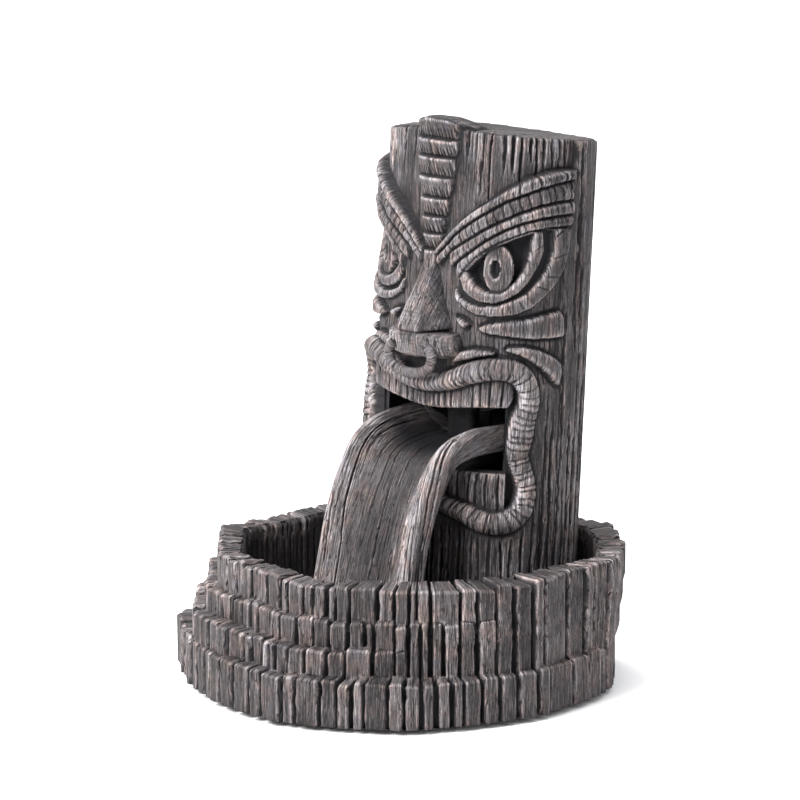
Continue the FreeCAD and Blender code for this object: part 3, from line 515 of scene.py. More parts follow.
    # splits that open at the sawn top edge
    rs = np.random.RandomState(5)
    for sgn in (-1, 1):
        pos = 20.0
        while pos < 90:
            dep = 2.2 + 2.2 * rs.rand()
            wd = 0.8 + 0.9 * rs.rand()
            ln = 16 + 30 * rs.rand() ** 1.5
            m = (np.abs(us - sgn * pos) < 5) & (z > 252)
            if m.any():
                H[m] = crack(H[m], us[m], z[m], sgn * pos, wd * (0.55 + 0.45 * np.clip((z[m] - 262) / 34, 0, 1)), dep, 297 - ln, 340, rs.randint(1e6), 0.8, 22, 9)
            pos += 3.6 + 5.2 * rs.rand()
    # long cracks on the plain log, all the way round
    pos = 86.8
    while pos < 2 * HALF - 84:
        c = pos if pos < HALF else pos - 2 * HALF
        n = 1 + rs.randint(2)
        for _ in range(n):
            a0 = 12 + 250 * rs.rand()
            ln = 50 + 150 * rs.rand()
            dep = 0.8 + 1.9 * rs.rand() ** 1.4
            m = np.abs(us - c) < 5
            H[m] = crack(H[m], us[m], z[m], c, 0.55 + 0.75 * rs.rand(), dep, max(5, a0 - ln / 2), min(330, a0 + ln / 2), rs.randint(1e6), 1.3, 40, 10)
        pos += 2.7 + 4.4 * rs.rand()
    for c, a0, a1, wd, dep in ((96.5, 185, 330, 1.3, 3.4), (100.5, 60, 230, 1.0, 2.6), (77.5, 60, 160, 1.0, 2.2), (88.5, 12, 205, 0.9, 2.0), (82.5, 12, 150, 0.8, 1.6), (93.2, 276, 330, 1.3, 3.6), (106, 20, 170, 0.8, 2.0), (111, 120, 330, 1.0, 2.6)):
        for sgn in (-1, 1):
            m = np.abs(us - sgn * c) < 5
            H[m] = crack(H[m], us[m], z[m], sgn * c, wd, dep, a0 - 7, a1, int(c * 10) + sgn, 0.9, 35, 12)
    # plank joints below the lower lip
    for sgn in (-1, 1):
        pos = 2.0
        while pos < 84:
            top = float(np.interp(pos, [0, 30, 52, 66, 72, 84], [92, 88, 82, 86, 110, 150]))
            m = (np.abs(us - sgn * pos) < 5) & (z < top + 4)
            H[m] = crack(H[m], us[m], z[m], sgn * pos, 0.6 + 0.6 * rs.rand(), 1.0 + 1.6 * rs.rand(), -10, top - 2 + 3 * rs.rand(), rs.randint(1e6), 1.2, 30, 5)
            pos += 3.5 + 4.0 * rs.rand()
    # plain ground between the face pieces
    m = (u < 86) & (z > 162) & (z < 200)
    pos = 20.0
    while pos < 86:
        for sgn in (-1, 1):
            mm = m & (np.abs(us - sgn * pos) < 3) & (H < -0.6)
            H[mm] = crack(H[mm], us[mm], z[mm], sgn * pos, 0.45, 0.7, 160, 202, rs.randint(1e6), 0.7, 20, 4)
        pos += 2.6 + 2.4 * rs.rand()
    return H, dark, rnd


def tooth_drop(u):
    return 4.5 * np.exp(-(u / 28.0) ** 2)


def top_z(x, y, knob=True):
    z = 298.0 - 0.12 * (y - 10) - 0.11 * np.maximum(0.0, -x - 5.0) * np.clip(1 - (y - 10) / 60.0, 0, 1)
    if knob:
        k = np.interp(y, [4, 8.6, 12, 20, 28, 36, 46, 52], [300.5, 302.2, 303.4, 303.2, 301.4, 298.6, 294.2, 290])
        w = np.interp(y, [4, 12, 30, 46, 52], [15.2, 15.0, 12.5, 7.5, 3.0])
        e = np.clip(1 - (np.abs(x) / w) ** 3, 0, 1) ** 0.5
        kz = z + (k - z) * e
        z = np.where((np.abs(x) < w) & (y < 52), np.maximum(z, kz), z)
    return z


def make_column():
    step = 0.66
    u50, us1, us2, ur = u_at_x(50.0), u_at_y(-11.0), u_at_y(11.0), None
    m = (_arc > 90)
    ur = float(np.interp(-6.0, -_x[m], _arc[m]))      # x = 6 on the back

    def seg(a, b, st):
        return np.linspace(a, b, max(2, int(round((b - a) / st)) + 1))
    half = np.concatenate([seg(0, u50, step)[:-1], seg(u50, us1, step)[:-1], seg(us1, us2, step * 1.1)[:-1], seg(us2, ur, step * 1.7)[:-1], seg(ur, HALF, 1.4)[:-1]])
    cols = np.concatenate([-half[:0:-1], half])
    cols = np.concatenate([[-HALF], cols])            # wraps round at the back
    rows = np.concatenate([seg(12, 24, step * 1.3)[:-1], seg(24, 26, 0.7)[:-1], seg(26, 80, step * 1.5)[:-1], seg(80, 117.5, step)[:-1], seg(117.5, 152, step)[:-1], seg(152, 285, step)])
    nt = 22
    R = len(rows) + nt
    C = len(cols)
    U = np.tile(cols, (R, 1))
    bx, by, nx, ny = col_xy(cols)
    # top edge height per column; forehead surface sits 4 mm in
    edge_y = yc(298) + by + ny * np.where(np.abs(cols) < 93, -4.0, 0.0)
    zt = top_z(bx, edge_y)
    zt = np.where(np.abs(cols) < 14.8, np.maximum(zt, 302.3 - 1.6 * (np.abs(cols) / 14.8) ** 4), zt)
    zt = zt + 0.9 * (vnoise(cols / 5.0, cols * 0 + 2, 17) - 0.5) + 0.5 * (vnoise(cols / 1.9, cols * 0 + 2, 19) - 0.5)
    Z = np.empty((R, C))
    Z[:len(rows)] = rows[:, None]
    for i in range(nt):
        Z[len(rows) + i] = 285 + (zt - 285) * ((i + 1) / nt) ** 0.92
    Z0 = Z.copy()
    au0 = np.abs(U)
    Z -= np.where(au0 < u50 + 0.01, tooth_drop(au0), 0.0) * np.clip((Z - 138.0) / 14.0, 0, 1) * np.clip((165.0 - Z) / 13.0, 0, 1)
    H, dark, rnd = face_height(U, Z)
    # roll the sawn edge over
    e = np.clip((zt - Z) / 1.6, 0, 1)
    H = H - 1.1 * (1 - np.sqrt(1 - (1 - e) ** 2))
    X = bx + nx * H
    Y = yc(Z) + by + ny * H
    B = Builder()
    # painted shade on the face inside the nose ring's opening
    dark = np.maximum(dark, 0.95 * (np.abs(U) < 14.5) * sstep(167.0, 169.0, Z) * sstep(179.5, 178.0, Z))
    mk = masks(H, True, (1, 1), (6, 6), dark, rnd)
    gc = np.stack([U, Z, 0 * Z], -1)
    P = np.stack([X, Y, Z], -1)
    idx = B.verts(P, mk, gc).reshape(R, C)
    uc = 0.5 * (cols + np.roll(cols, -1))
    uc[-1] = 0.5 * (cols[-1] + HALF)
    zc = 0.5 * (Z0[:-1] + Z0[1:])
    au = np.abs(uc)[None, :]
    hole = (au < u50) & (zc > 117.5) & (zc < 152)
    hole |= (au > us1) & (au < us2) & (zc < 26)
    hole |= (au > ur) & (zc < 24)
    B.grid(idx, wrap=True, keep=~hole)
    # inside wall on the same columns, fewer rows
    keepr = [i for i, z in enumerate(rows) if z <= 26.001 or 117.4 < z < 152.1]
    extra = [int(np.argmin(np.abs(rows - z))) for z in np.concatenate([np.arange(30, 117, 5.0), np.arange(156, 205, 6.0), [205.0]])]
    ri = sorted(set(keepr + extra))
    rz = rows[ri]
    ix, iy, _, _ = col_xy(cols, -9.0)
    IP = np.stack([np.tile(ix, (len(ri), 1)), yc(rz)[:, None] + iy[None, :], np.tile(rz[:, None], (1, C))], -1)
    # the inside skin gets the full dark mask: painted shade inside the hollow column
    im = np.zeros((len(ri), C, 4)) + [1.0, 0.1, 0.5, 1]
    inn = B.verts(IP, im, np.stack([np.tile(cols, (len(ri), 1)), np.tile(rz[:, None], (1, C)), np.zeros((len(ri), C))], -1)).reshape(len(ri), C)
    zc2 = 0.5 * (rz[:-1] + rz[1:])[:, None]
    hole2 = (au < u50) & (zc2 > 117.5) & (zc2 < 152)
    hole2 |= (au > us1) & (au < us2) & (zc2 < 26)
    hole2 |= (au > ur) & (zc2 < 24)
    B.grid(inn, wrap=True, keep=~hole2, flip=True)
    # reveals between outer and inner skins
    pos = {r: k for k, r in enumerate(ri)}
    Cn = C
    for r in range(len(rows) - 1):
        if r not in pos or r + 1 not in pos:
            continue
        hr = hole[r]
        for c in np.nonzero(hr & ~np.roll(hr, 1))[0]:
            B.quad([[idx[r, c], idx[r + 1, c], inn[pos[r + 1], c], inn[pos[r], c]]])
        for c in np.nonzero(hr & ~np.roll(hr, -1))[0]:
            c2 = (c + 1) % Cn
            B.quad([[idx[r + 1, c2], idx[r, c2], inn[pos[r], c2], inn[pos[r + 1], c2]]])
    for r in range(1, len(rows) - 1):
        if r not in pos:
            continue
        up, dn = hole[r], hole[r - 1]
        for c in np.nonzero(up != dn)[0]:
            c2 = (c + 1) % Cn
            q = [idx[r, c], inn[pos[r], c], inn[pos[r], c2], idx[r, c2]]
            B.quad([q if up[c] else q[::-1]])
    # underside ring
    for c in np.nonzero(~hole[0])[0]:
        c2 = (c + 1) % Cn
        B.quad([[idx[0, c2], idx[0, c], inn[0, c], inn[0, c2]]])
    # chamber ceiling, also given the full dark mask as painted shade
    cen = B.verts([[0, yc(205), 205]], [[1.0, 0.1, 0.5, 1]])[0]
    last = inn[-1]
    B.quad(np.stack([last, np.full(C, cen), np.full(C, cen), np.roll(last, -1)], -1))
    # top: rings shrinking to the middle
    ex, ey = P[-1, :, 0], P[-1, :, 1]
    cx, cy = 0.0, yc(296) + 2
    prev = idx[-1]
    nr = 56
    edge_z = P[-1, :, 2]
    rings = []
    for k in range(1, nr):
        f = 1 - (k / nr) ** 0.9
        x = cx + (ex - cx) * f
        y = cy + (ey - cy) * f
        z = top_z(x, y)
        # blend the ragged edge heights in from the rim
        r_mm = (1 - f) * np.hypot(ex - cx, ey - cy)
        wgt = np.exp(-(r_mm / 3.0))
        z = z + (edge_z - top_z(ex, ey)) * wgt
        z = z + 0.5 * (1 - np.exp(-r_mm / 1.2)) * 0.8
        fib = grain(x * 1.0 + 200, y * 0.35 + 40, 201)
        z = z + 0.35 * fib + 0.9 * (vnoise(x / 16, y / 14, 205) - 0.5)
        rr = np.hypot(x * 0.9, y - cy - 6)
        z = z - 0.22 * np.sin(rr * 1.9 + 2.0 * vnoise(x / 9, y / 9, 207)) ** 8
        rings.append((x, y, np.minimum(z, 304.2)))
    zz = np.array([r[2] for r in rings])
    mk2 = masks(zz - blur(zz, 10, 4, True), True, (1, 1), (5, 3), None, None, 1.4)
    mk2[..., 0] *= 0.6
    for k, (x, y, z) in enumerate(rings):
        cur = B.verts(np.stack([x, y, z], -1), mk2[k], np.stack([x * 1.0, y * 0.35, 0 * x + 7], -1))
        B.quad(np.stack([prev, np.roll(prev, -1), np.roll(cur, -1), cur], -1))
        prev = cur
    zc0 = float(np.mean(rings[-1][2]))
    cen = B.verts([[cx, cy, zc0]], [[0.2, 0.5, 0.5, 1]])[0]
    B.quad(np.stack([prev, np.roll(prev, -1), np.full(C, cen), np.full(C, cen)], -1))
    add_nose(B)
    add_ring(B)
    return B.mesh("tiki_column_carved")


def loop_profile(pts, n, rad):
    """Closed, mirrored section from half-profile points (x>=0), resampled and rounded."""
    full = [(-x, y) for x, y in pts[::-1] if x > 0] + [(x, y) for x, y in pts]
    P = np.array(full + [full[0]], float)
    L = np.concatenate([[0], np.cumsum(np.hypot(*np.diff(P, axis=0).T))])
    s = np.linspace(0, L[-1], n, endpoint=False)
    x, y = np.interp(s, L, P[:, 0]), np.interp(s, L, P[:, 1])
    k = max(1, int(rad / (L[-1] / n)))
    if k > 0:
        w = np.ones(2 * k + 1) / (2 * k + 1)
        x = np.convolve(np.concatenate([x[-k:], x, x[:k]]), w, "valid")
        y = np.convolve(np.concatenate([y[-k:], y, y[:k]]), w, "valid")
    return x, y


def add_loft(B, stations, n, rad, dz, disp, mask_dark=0.0):
    zs = [s[0] for s in stations]
    secs = [loop_profile(s[1], n, rad) for s in stations]
    zz = []
    for a, b in zip(zs[:-1], zs[1:]):
        k = max(1, int(abs(b - a) / dz))
        zz += list(np.linspace(a, b, k, endpoint=False))
    zz.append(zs[-1])
    zz = np.array(zz)
    X = np.empty((len(zz), n))
    Y = np.empty((len(zz), n))
    for i, z in enumerate(zz):
        k = min(len(zs) - 2, max(0, int(np.searchsorted(zs, z, side="right") - 1)))
        t = (z - zs[k]) / (zs[k + 1] - zs[k])
        X[i] = secs[k][0] * (1 - t) + secs[k + 1][0] * t
        Y[i] = secs[k][1] * (1 - t) + secs[k + 1][1] * t
    Z = np.tile(zz[:, None], (1, n))
    dx = np.roll(X, -1, 1) - np.roll(X, 1, 1)
    dy = np.roll(Y, -1, 1) - np.roll(Y, 1, 1)
    L = np.hypot(dx, dy) + 1e-9
    nx, ny = dy / L, -dx / L
    H, dk = disp(X, Y, Z)
    X, Y = X + nx * H, Y + ny * H
    mk = masks(H, True, (1, 1), (4, 4), dk)
    # painted light: the front faces of the nose pieces are made paler where the key light falls
    mk[..., 1] = np.clip(mk[..., 1] + 0.20 * sstep(9.0, -1.0, Y), 0, 1)
    idx = B.verts(np.stack([X, Y, Z], -1), mk, np.stack([X * 1.0, Z, Y * 0.15], -1)).reshape(len(zz), n)
    B.grid(idx, wrap=True)
    for row, fl in ((0, True), (-1, False)):
        c = B.verts([[0, float(Y[row].mean()), float(zz[row])]], [[0.4, 0.4, 0.5, 1]])[0]
        r = idx[row]
        q = np.stack([r, np.roll(r, -1), np.full(n, c), np.full(n, c)], -1)
        B.quad(q[:, ::-1] if fl else q)


def add_nose(B):
    blk = [(177.2, [(0, -6.6), (5.5, -6.6), (18, -0.5), (22.5, 6), (22, 12), (0, 12)]),
           (178.6, [(0, -8.8), (6.8, -8.8), (19.2, -2.8), (24.4, 4.6), (24, 12), (0, 12)]),
           (184, [(0, -9.7), (7.6, -9.7), (19.8, -4.4), (25.0, 2.6), (24.6, 12), (0, 12)]),
           (188.6, [(0, -9.9), (8.4, -9.9), (19.0, -5.2), (23.4, 1.0), (23.4, 12), (0, 12)]),
           (190.4, [(0, -8.6), (7.4, -8.6), (17.0, -3.6), (21.4, 2.6), (21.6, 12), (0, 12)])]

    def dblk(X, Y, Z):
        g = grain(Z * 0.9, X * 1.0 + 30, 301)
        H = 0.16 * g
        lines, cell, _ = ticks(Z + 0.12 * np.abs(X) + 0.5 * vnoise(X / 6, Z / 3, 303) + 10, 305, 2.1, 0.35, 300)
        H = H - 0.20 * lines * (Y < 4)
        dk = 0.14 * sstep(0.5, 1, lines) * (Y < 4)
        for sx in (-1,):
            for cx, cz, rx, rz in ((11.4, 183.2, 1.7, 4.6), (15.6, 184.0, 1.5, 4.2)):
                q = np.hypot((X - sx * cx) / rx, (Z - cz - 0.4 * (np.abs(X) - cx)) / rz)
                m = (q < 1.25) & (Y < 5)
                H = np.where(m, H - 4.0 * sstep(1.2, 0.75, q), H)
                dk = np.where(m, np.maximum(dk, sstep(1.15, 0.8, q)), dk)
        scr, _, _ = ticks(Z * 0.8 + X * 0.6 + 300, 307, 3.0, 0.4)
        m = (np.abs(X) > 17) & (Y < 8)
        H = np.where(m, H - 0.35 * scr, H)
        dk = np.where(m, np.maximum(dk, 0.3 * sstep(0.5, 1, scr)), dk)
        return H, dk
    add_loft(B, blk, 240, 1.2, 0.55, dblk)
    bridge = [(188.8, [(0, -7.4), (5.4, -7.4), (8.5, 6), (8.5, 13), (0, 13)]),
              (191.0, [(0, -8.6), (6.0, -8.6), (12.0, 6), (12, 13), (0, 13)]),
              (191.8, [(0, -10.9), (7.2, -10.9), (16.6, 7.6), (17, 13), (0, 13)]),
              (193.2, [(0, -10.9), (7.3, -10.9), (16.8, 7.8), (17, 13), (0, 13)]),
              (226.5, [(0, 6.6), (3.0, 6.6), (5.2, 10.8), (5.2, 15), (0, 15)])]

    def dbr(X, Y, Z):
        t = (Z - 191) / 35
        w = 7.5 - 4.5 * t
        front = np.clip(1 - np.abs(X) / (w + 0.8), 0, 1)
        H = 0.15 * grain(X * 1.2 + 20, Z, 311)
        ln, _, _ = ticks(Z + 0.4 * vnoise(X / 4, Z / 3, 313), 315, 1.9, 0.35, 400)
        H = H - 0.20 * ln * sstep(0.15, 0.3, front) * (Z < 206)
        dk = 0.14 * sstep(0.5, 1, ln) * (front > 0.1) * (Z < 206)
        q = X / np.maximum(w, 1) * 7
        vl, _, _ = ticks(q + 40, 317, 1.7, 0.42, 200)
        top = sstep(203, 210, Z) * (front > 0.02)
        H = H - 0.5 * vl * top
        dk = np.maximum(dk, 0.6 * sstep(0.4, 0.9, vl) * top)
        flank = front <= 0.02
        fl, _, _ = ticks(Z * 0.35 + Y * 1.0 + 60, 319, 2.4, 0.4, 300)
        H = np.where(flank, H - 0.3 * fl, H)
        dk = np.where(flank, 0.25 + 0.3 * sstep(0.5, 1, fl), dk)
        return H, dk
    add_loft(B, bridge, 200, 0.9, 0.55, dbr)


def add_ring(B):
    rp = [(-12.4, 186), (-15.4, 181), (-15.6, 175.5), (-13.4, 169.6), (-7.8, 165.6), (0, 164.4), (7.8, 165.6), (13.4, 169.6), (15.6, 175.5), (15.4, 181), (12.4, 186)]
    rp = [(x * 1.02, 183.4 - (186 - z) * 0.70) for x, z in rp]
    c = smooth_path(rp, 14)
    n = 28
    d = np.gradient(c, axis=0)
    L = np.hypot(d[:, 0], d[:, 1])
    tx, tz = d[:, 0] / L, d[:, 1] / L
    s = np.concatenate([[0], np.cumsum(np.hypot(*np.diff(c, axis=0).T))])
    th = np.linspace(0, 2 * math.pi, n, endpoint=False)
    T, S = np.meshgrid(th, s)
    cut, cell, mid = ticks(S + 0.8 * np.sin(T), 331, 5.2, 0.5)
    H = 0.25 * grain(S * 0.8, T * 6, 333) - 0.35 * cut
    ra, rb = 2.9 + H, 2.6 + H
    nx, nz = -tz[:, None], tx[:, None]
    yb = -7.0 - 0.7 * np.sin(np.linspace(0, math.pi, len(c)))[:, None]
    X = c[:, 0][:, None] + nx * ra * np.cos(T)
    Z = c[:, 1][:, None] + nz * ra * np.cos(T)
    Y = yb + rb * np.sin(T)
    mk = masks(H, True, (1, 1), (3, 3), 0.12 * sstep(0.5, 1, cut))
    mk[..., 1] = np.clip(mk[..., 1] + 0.16, 0, 1)
    idx = B.verts(np.stack([X, Y, Z], -1), mk, np.stack([S, T * 3, 0 * S], -1)).reshape(len(c), n)
    B.grid(idx, wrap=True)
    for row, fl in ((0, True), (-1, False)):
        cc = B.verts([[float(X[row].mean()), float(Y[row].mean()), float(Z[row].mean())]])[0]
        r = idx[row]
        q = np.stack([r, np.roll(r, -1), np.full(n, cc), np.full(n, cc)], -1)
        B.quad(q[:, ::-1] if fl else q)


# ---------------------------------------------------------------- tongue ---
RIDGE_YZ = [(37, 141), (24, 141), (8, 140.5), (-3, 138.5), (-12, 135), (-20, 129), (-26, 120), (-32, 109), (-37, 97), (-41, 84), (-44, 70), (-47, 55), (-49.5, 40), (-51.5, 26), (-53, 8)]
TW = [43, 42, 39, 37.5, 36.5, 36, 36, 36, 36, 36.2, 36.5, 37, 37.5, 38, 38.5]
TD = [15, 15.5, 16, 16, 15.5, 14.5, 13, 11.5, 10, 9, 8, 7, 6.5, 6, 5.5]


def make_tongue():
    k = 12
    st = smooth_path([(a, b, w, d) for (a, b), w, d in zip(RIDGE_YZ, TW, TD)], k)
    n = 340
    R = len(st)
    tan = np.gradient(st[:, :2], axis=0)
    tan /= np.hypot(tan[:, 0], tan[:, 1])[:, None]
    ny, nz = tan[:, 1], -tan[:, 0]
    run = np.concatenate([[0], np.cumsum(np.hypot(*np.diff(st[:, :2], axis=0).T))])
    P = np.empty((R, n, 3))
    S = np.empty((R, n))
    for i in range(R):
        y, z, w, d = st[i]
        side = -11 - 0.2 * d
        prof = [(-w, side), (-w, -4.2), (-w + 2.0, -1.2), (-w + 4.6, 0), (-w + 7.4, -0.9), (-w * 0.66, -d * 0.5), (-w * 0.46, -d * 0.82), (0, -d),
                (w * 0.46, -d * 0.82), (w * 0.66, -d * 0.5), (w - 7.4, -0.9), (w - 4.6, 0), (w - 2.0, -1.2), (w, -4.2), (w, side),
                (w - 5.0, side), (w * 0.52, -d * 0.72 - 6.0), (0, -d - 5.5), (-w * 0.52, -d * 0.72 - 6.0), (-w + 5.0, side)]
        Q = np.array(prof + [prof[0]], float)
        L = np.concatenate([[0], np.cumsum(np.hypot(*np.diff(Q, axis=0).T))])
        # a denser share of the columns on the visible side
        s = np.concatenate([np.linspace(0, L[14], int(n * 0.78), endpoint=False), np.linspace(L[14], L[-1], n - int(n * 0.78), endpoint=False)])
        x, h = np.interp(s, L, Q[:, 0]), np.interp(s, L, Q[:, 1])
        kk = 3
        wv = np.ones(2 * kk + 1) / (2 * kk + 1)
        x = np.convolve(np.concatenate([x[-kk:], x, x[:kk]]), wv, "valid")
        h = np.convolve(np.concatenate([h[-kk:], h, h[:kk]]), wv, "valid")
        P[i, :, 0] = x
        P[i, :, 1] = y + ny[i] * h
        P[i, :, 2] = z + nz[i] * h
        S[i] = s
    T = np.tile(run[:, None], (1, n))
    # lines flow with the channel: use the position across, not the arc
    a = S
    H = 0.32 * grain(a, T * 0.9, 401) + 0.8 * (vnoise(a / 7.0, T / 90.0, 405) - 0.5)
    rs = np.random.RandomState(9)
    pos = 2.0
    smax = S[:, int(n * 0.78)].min()
    rnd = vnoise(a / 6.0, T / 120.0, 407)
    while pos < smax:
        for _ in range(2):
            t0 = run[-1] * rs.rand()
            ln = 40 + 130 * rs.rand()
            m = np.abs(a - pos) < 6
            H[m] = crack(H[m], a[m], T[m], pos + 0.8 * (rs.rand() - 0.5), 0.42 + 0.55 * rs.rand(), 0.5 + 1.5 * rs.rand() ** 1.7, t0 - ln / 2, t0 + ln / 2, rs.randint(1e6), 1.9, 42, 14)
        pos += 2.3 + 3.2 * rs.rand()
    # a few short deep checks low on the left arm
    for pp, t0, t1, wd, dep in ((13.5, 175, 215, 0.8, 2.2), (17.0, 185, 222, 0.9, 2.4), (20.5, 192, 214, 0.8, 2.0), (24.0, 180, 196, 0.7, 1.6), (smax - 17, 160, 235, 0.9, 2.4)):
        m = np.abs(a - pp) < 5
        H[m] = crack(H[m], a[m], T[m], pp, wd, dep, t0, t1, int(pp * 7), 0.8, 20, 4)
    # flow grid normals
    du = np.roll(P, -1, 1) - np.roll(P, 1, 1)
    dv = np.gradient(P, axis=0)
    N = np.cross(dv, du)
    N /= np.linalg.norm(N, axis=-1)[..., None] + 1e-9
    cen = P.mean(axis=1, keepdims=True)
    if np.mean(np.sum(N * (P - cen), -1)) < 0:
        N = -N
    P2 = P + N * H[..., None]
    P2[..., 2] = np.maximum(P2[..., 2], 10.4)
    inner = np.abs(P[..., 0]) / 40.0
    chan = sstep(0.75, 0.2, inner) * (S < smax)
    mk = masks(H, True, (1, 1), (6, 3), 0.0 * H, rnd)
    # painted shade: the channel's middle is darkened, and the tongue darkens towards the mouth where the lip shades it
    mk[..., 0] = np.clip(mk[..., 0] + 0.46 * chan + 0.75 * sstep(-8.0, 14.0, P2[..., 1]) * (0.2 + 0.8 * sstep(0.85, 0.55, inner)), 0, 1)
    # worn tops of the two arms
    ridge = np.exp(-((np.abs(P[..., 0]) - 32.0) / 3.5) ** 2) * (S < smax)
    mk[..., 1] = np.clip(mk[..., 1] + 0.16 * ridge, 0, 1)
    B = Builder()
    idx = B.verts(P2, mk, np.stack([S, T, 0 * T], -1)).reshape(R, n)
    fl = False
    test = np.cross(P2[5, 1] - P2[5, 0], P2[6, 0] - P2[5, 0])
    if np.dot(test, N[5, 0]) < 0:
        fl = True
    B.grid(idx, wrap=True, flip=fl)
    for row in (0, -1):
        r = idx[row]
        c = B.verts([[0, float(P2[row, :, 1].mean()), float(P2[row, :, 2].mean())]], [[0.6, 0.4, 0.5, 1]])[0]
        q = np.stack([r, np.roll(r, -1), np.full(n, c), np.full(n, c)], -1)
        B.quad(q[:, ::-1] if ((row == 0) != fl) else q)
    # bed and spout socket inside the mouth
    for x0, x1, y0, y1, z0, z1 in ((-28, 28, 2, 36, 117.5, 123.0),):
        k3 = 9
        th = np.linspace(0, 2 * math.pi, 48, endpoint=False)
        sx, sy = (x1 - x0) / 2, (y1 - y0) / 2
        cxx = (x0 + x1) / 2 + sx * np.sign(np.cos(th)) * np.abs(np.cos(th)) ** 0.25
        cyy = (y0 + y1) / 2 + sy * np.sign(np.sin(th)) * np.abs(np.sin(th)) ** 0.25
        # painted shade: dark mask on the bed and socket inside the mouth
        lo = B.verts(np.stack([cxx, cyy, 0 * th + z0], -1), np.zeros((48, 4)) + [0.8, 0.4, 0.5, 1])
        hi = B.verts(np.stack([cxx, cyy, 0 * th + z1], -1), np.zeros((48, 4)) + [0.8, 0.4, 0.5, 1])
        B.quad(np.stack([lo, np.roll(lo, -1), np.roll(hi, -1), hi], -1))
        for r, zz, f in ((lo, z0, True), (hi, z1, False)):
            c = B.verts([[(x0 + x1) / 2, (y0 + y1) / 2, zz]], [[0.8, 0.4, 0.5, 1]])[0]
            q = np.stack([r, np.roll(r, -1), np.full(48, c), np.full(48, c)], -1)
            B.quad(q[:, ::-1] if f else q)
    # socket plate round the elbow's end
    th = np.linspace(0, 2 * math.pi, 64, endpoint=False)
    sq = np.maximum(np.abs(np.cos(th)), np.abs(np.sin(th)))
    ox, oz = 9 * np.cos(th) / sq, 160 + 9 * np.sin(th) / sq
    oz = np.where(np.sin(th) < -0.5, np.where(np.abs(np.cos(th)) < 0.75, 122.0, oz), oz)
    loops = []
    for y, xx, zz in ((30, ox, oz), (36, ox, oz), (36, 6.1 * np.cos(th), 160 + 6.1 * np.sin(th)), (30, 6.1 * np.cos(th), 160 + 6.1 * np.sin(th))):
        # painted shade: the socket plate gets the full dark mask
        loops.append(B.verts(np.stack([xx, 0 * xx + y, zz], -1), np.zeros((64, 4)) + [1.0, 0.1, 0.5, 1]))
    for p, q in zip(loops, loops[1:] + loops[:1]):
        B.quad(np.stack([p, np.roll(p, -1), np.roll(q, -1), q], -1))
    return B.mesh("tongue_chute_carved")


# ----------------------------------------------------------------- basin ---
RIM = [(-104, -50), (-54, -99), (10, -106), (31, -104.5), (64, -79), (86, -58.5),
       (98, -44.5), (105, -32), (107, -14), (102.5, 14), (101, 49), (81, 75),
       (44, 104), (-42, 106), (-86, 80), (-101, 22)]
TIER2 = [(-109, -54), (-56, -105), (12, -112), (34, -107), (56, -90.5), (72, -78),
         (88, -60.5), (99, -45.5), (105.5, -32), (107, -14), (102.5, 14),
         (100, 48.5), (79.5, 74.5), (44.5, 105), (-42.5, 107), (-88, 81), (-105, 22)]
TIER3 = [(-113, -59), (-59.5, -111), (-27, -118), (20, -120), (38, -113),
         (62, -91), (73, -78), (88, -60.5), (99, -45.5), (105.5, -32), (107, -14),
         (102.5, 14), (99, 48), (78, 73.5), (45, 105.5), (-43, 108), (-90, 82),
         (-108, 21)]
TIER4 = [(-118, -62), (-112, -76), (-73, -105), (-58, -113), (-38, -121),
         (-7, -126.5), (21, -128.5), (56, -113), (85, -91), (97, -66),
         (107.5, -34), (111, -12), (107, 15), (104, 34), (97.5, 50), (76.5, 72),
         (43, 104), (-43, 106), (-91, 82), (-110, 19)]
POOL = [(-90, -44), (-48, -85), (26, -91), (85, -23), (87, 45), (70, 64), (38, 90), (-37, 92), (-75, 70), (-87, 20)]


def radius_at(poly, ang):
    """Distance from the origin to the outline along each angle."""
    r = np.full(ang.shape, 0.0)
    dx, dy = np.cos(ang), np.sin(ang)
    n = len(poly)
    for i in range(n):
        a, b = poly[i], poly[(i + 1) % n]
        ex, ey = b[0] - a[0], b[1] - a[1]
        den = dx * ey - dy * ex
        with np.errstate(divide="ignore", invalid="ignore"):
            t = (a[0] * ey - a[1] * ex) / den
            s = (a[0] * dy - a[1] * dx) / den
        ok = (np.abs(den) > 1e-9) & (t > 0) & (s >= -1e-6) & (s <= 1 + 1e-6)
        r = np.where(ok, np.maximum(r, t), r)
    return r


def planks(s, P, seed, mean, share=None, jitter=1.6):
    """Joint positions round a closed run of length P, and the random state for the cells."""
    rs = np.random.RandomState(seed)
    if share is None:
        pos = [0.0]
        while pos[-1] < P - mean * 0.6:
            pos.append(pos[-1] + mean * (0.45 + 1.1 * rs.rand()))
        pos = np.array(pos[:-1])
    else:
        pos = share + jitter * (2 * rs.rand(len(share)) - 1)
        # some new joints open in wide planks
        extra = []
        for a, b in zip(pos, np.append(pos[1:], pos[0] + P)):
            if b - a > mean * 1.15 and rs.rand() < 0.55:
                extra.append(a + (b - a) * (0.35 + 0.3 * rs.rand()))
        pos = np.sort(np.concatenate([pos, extra]) % P)
    return pos, rs


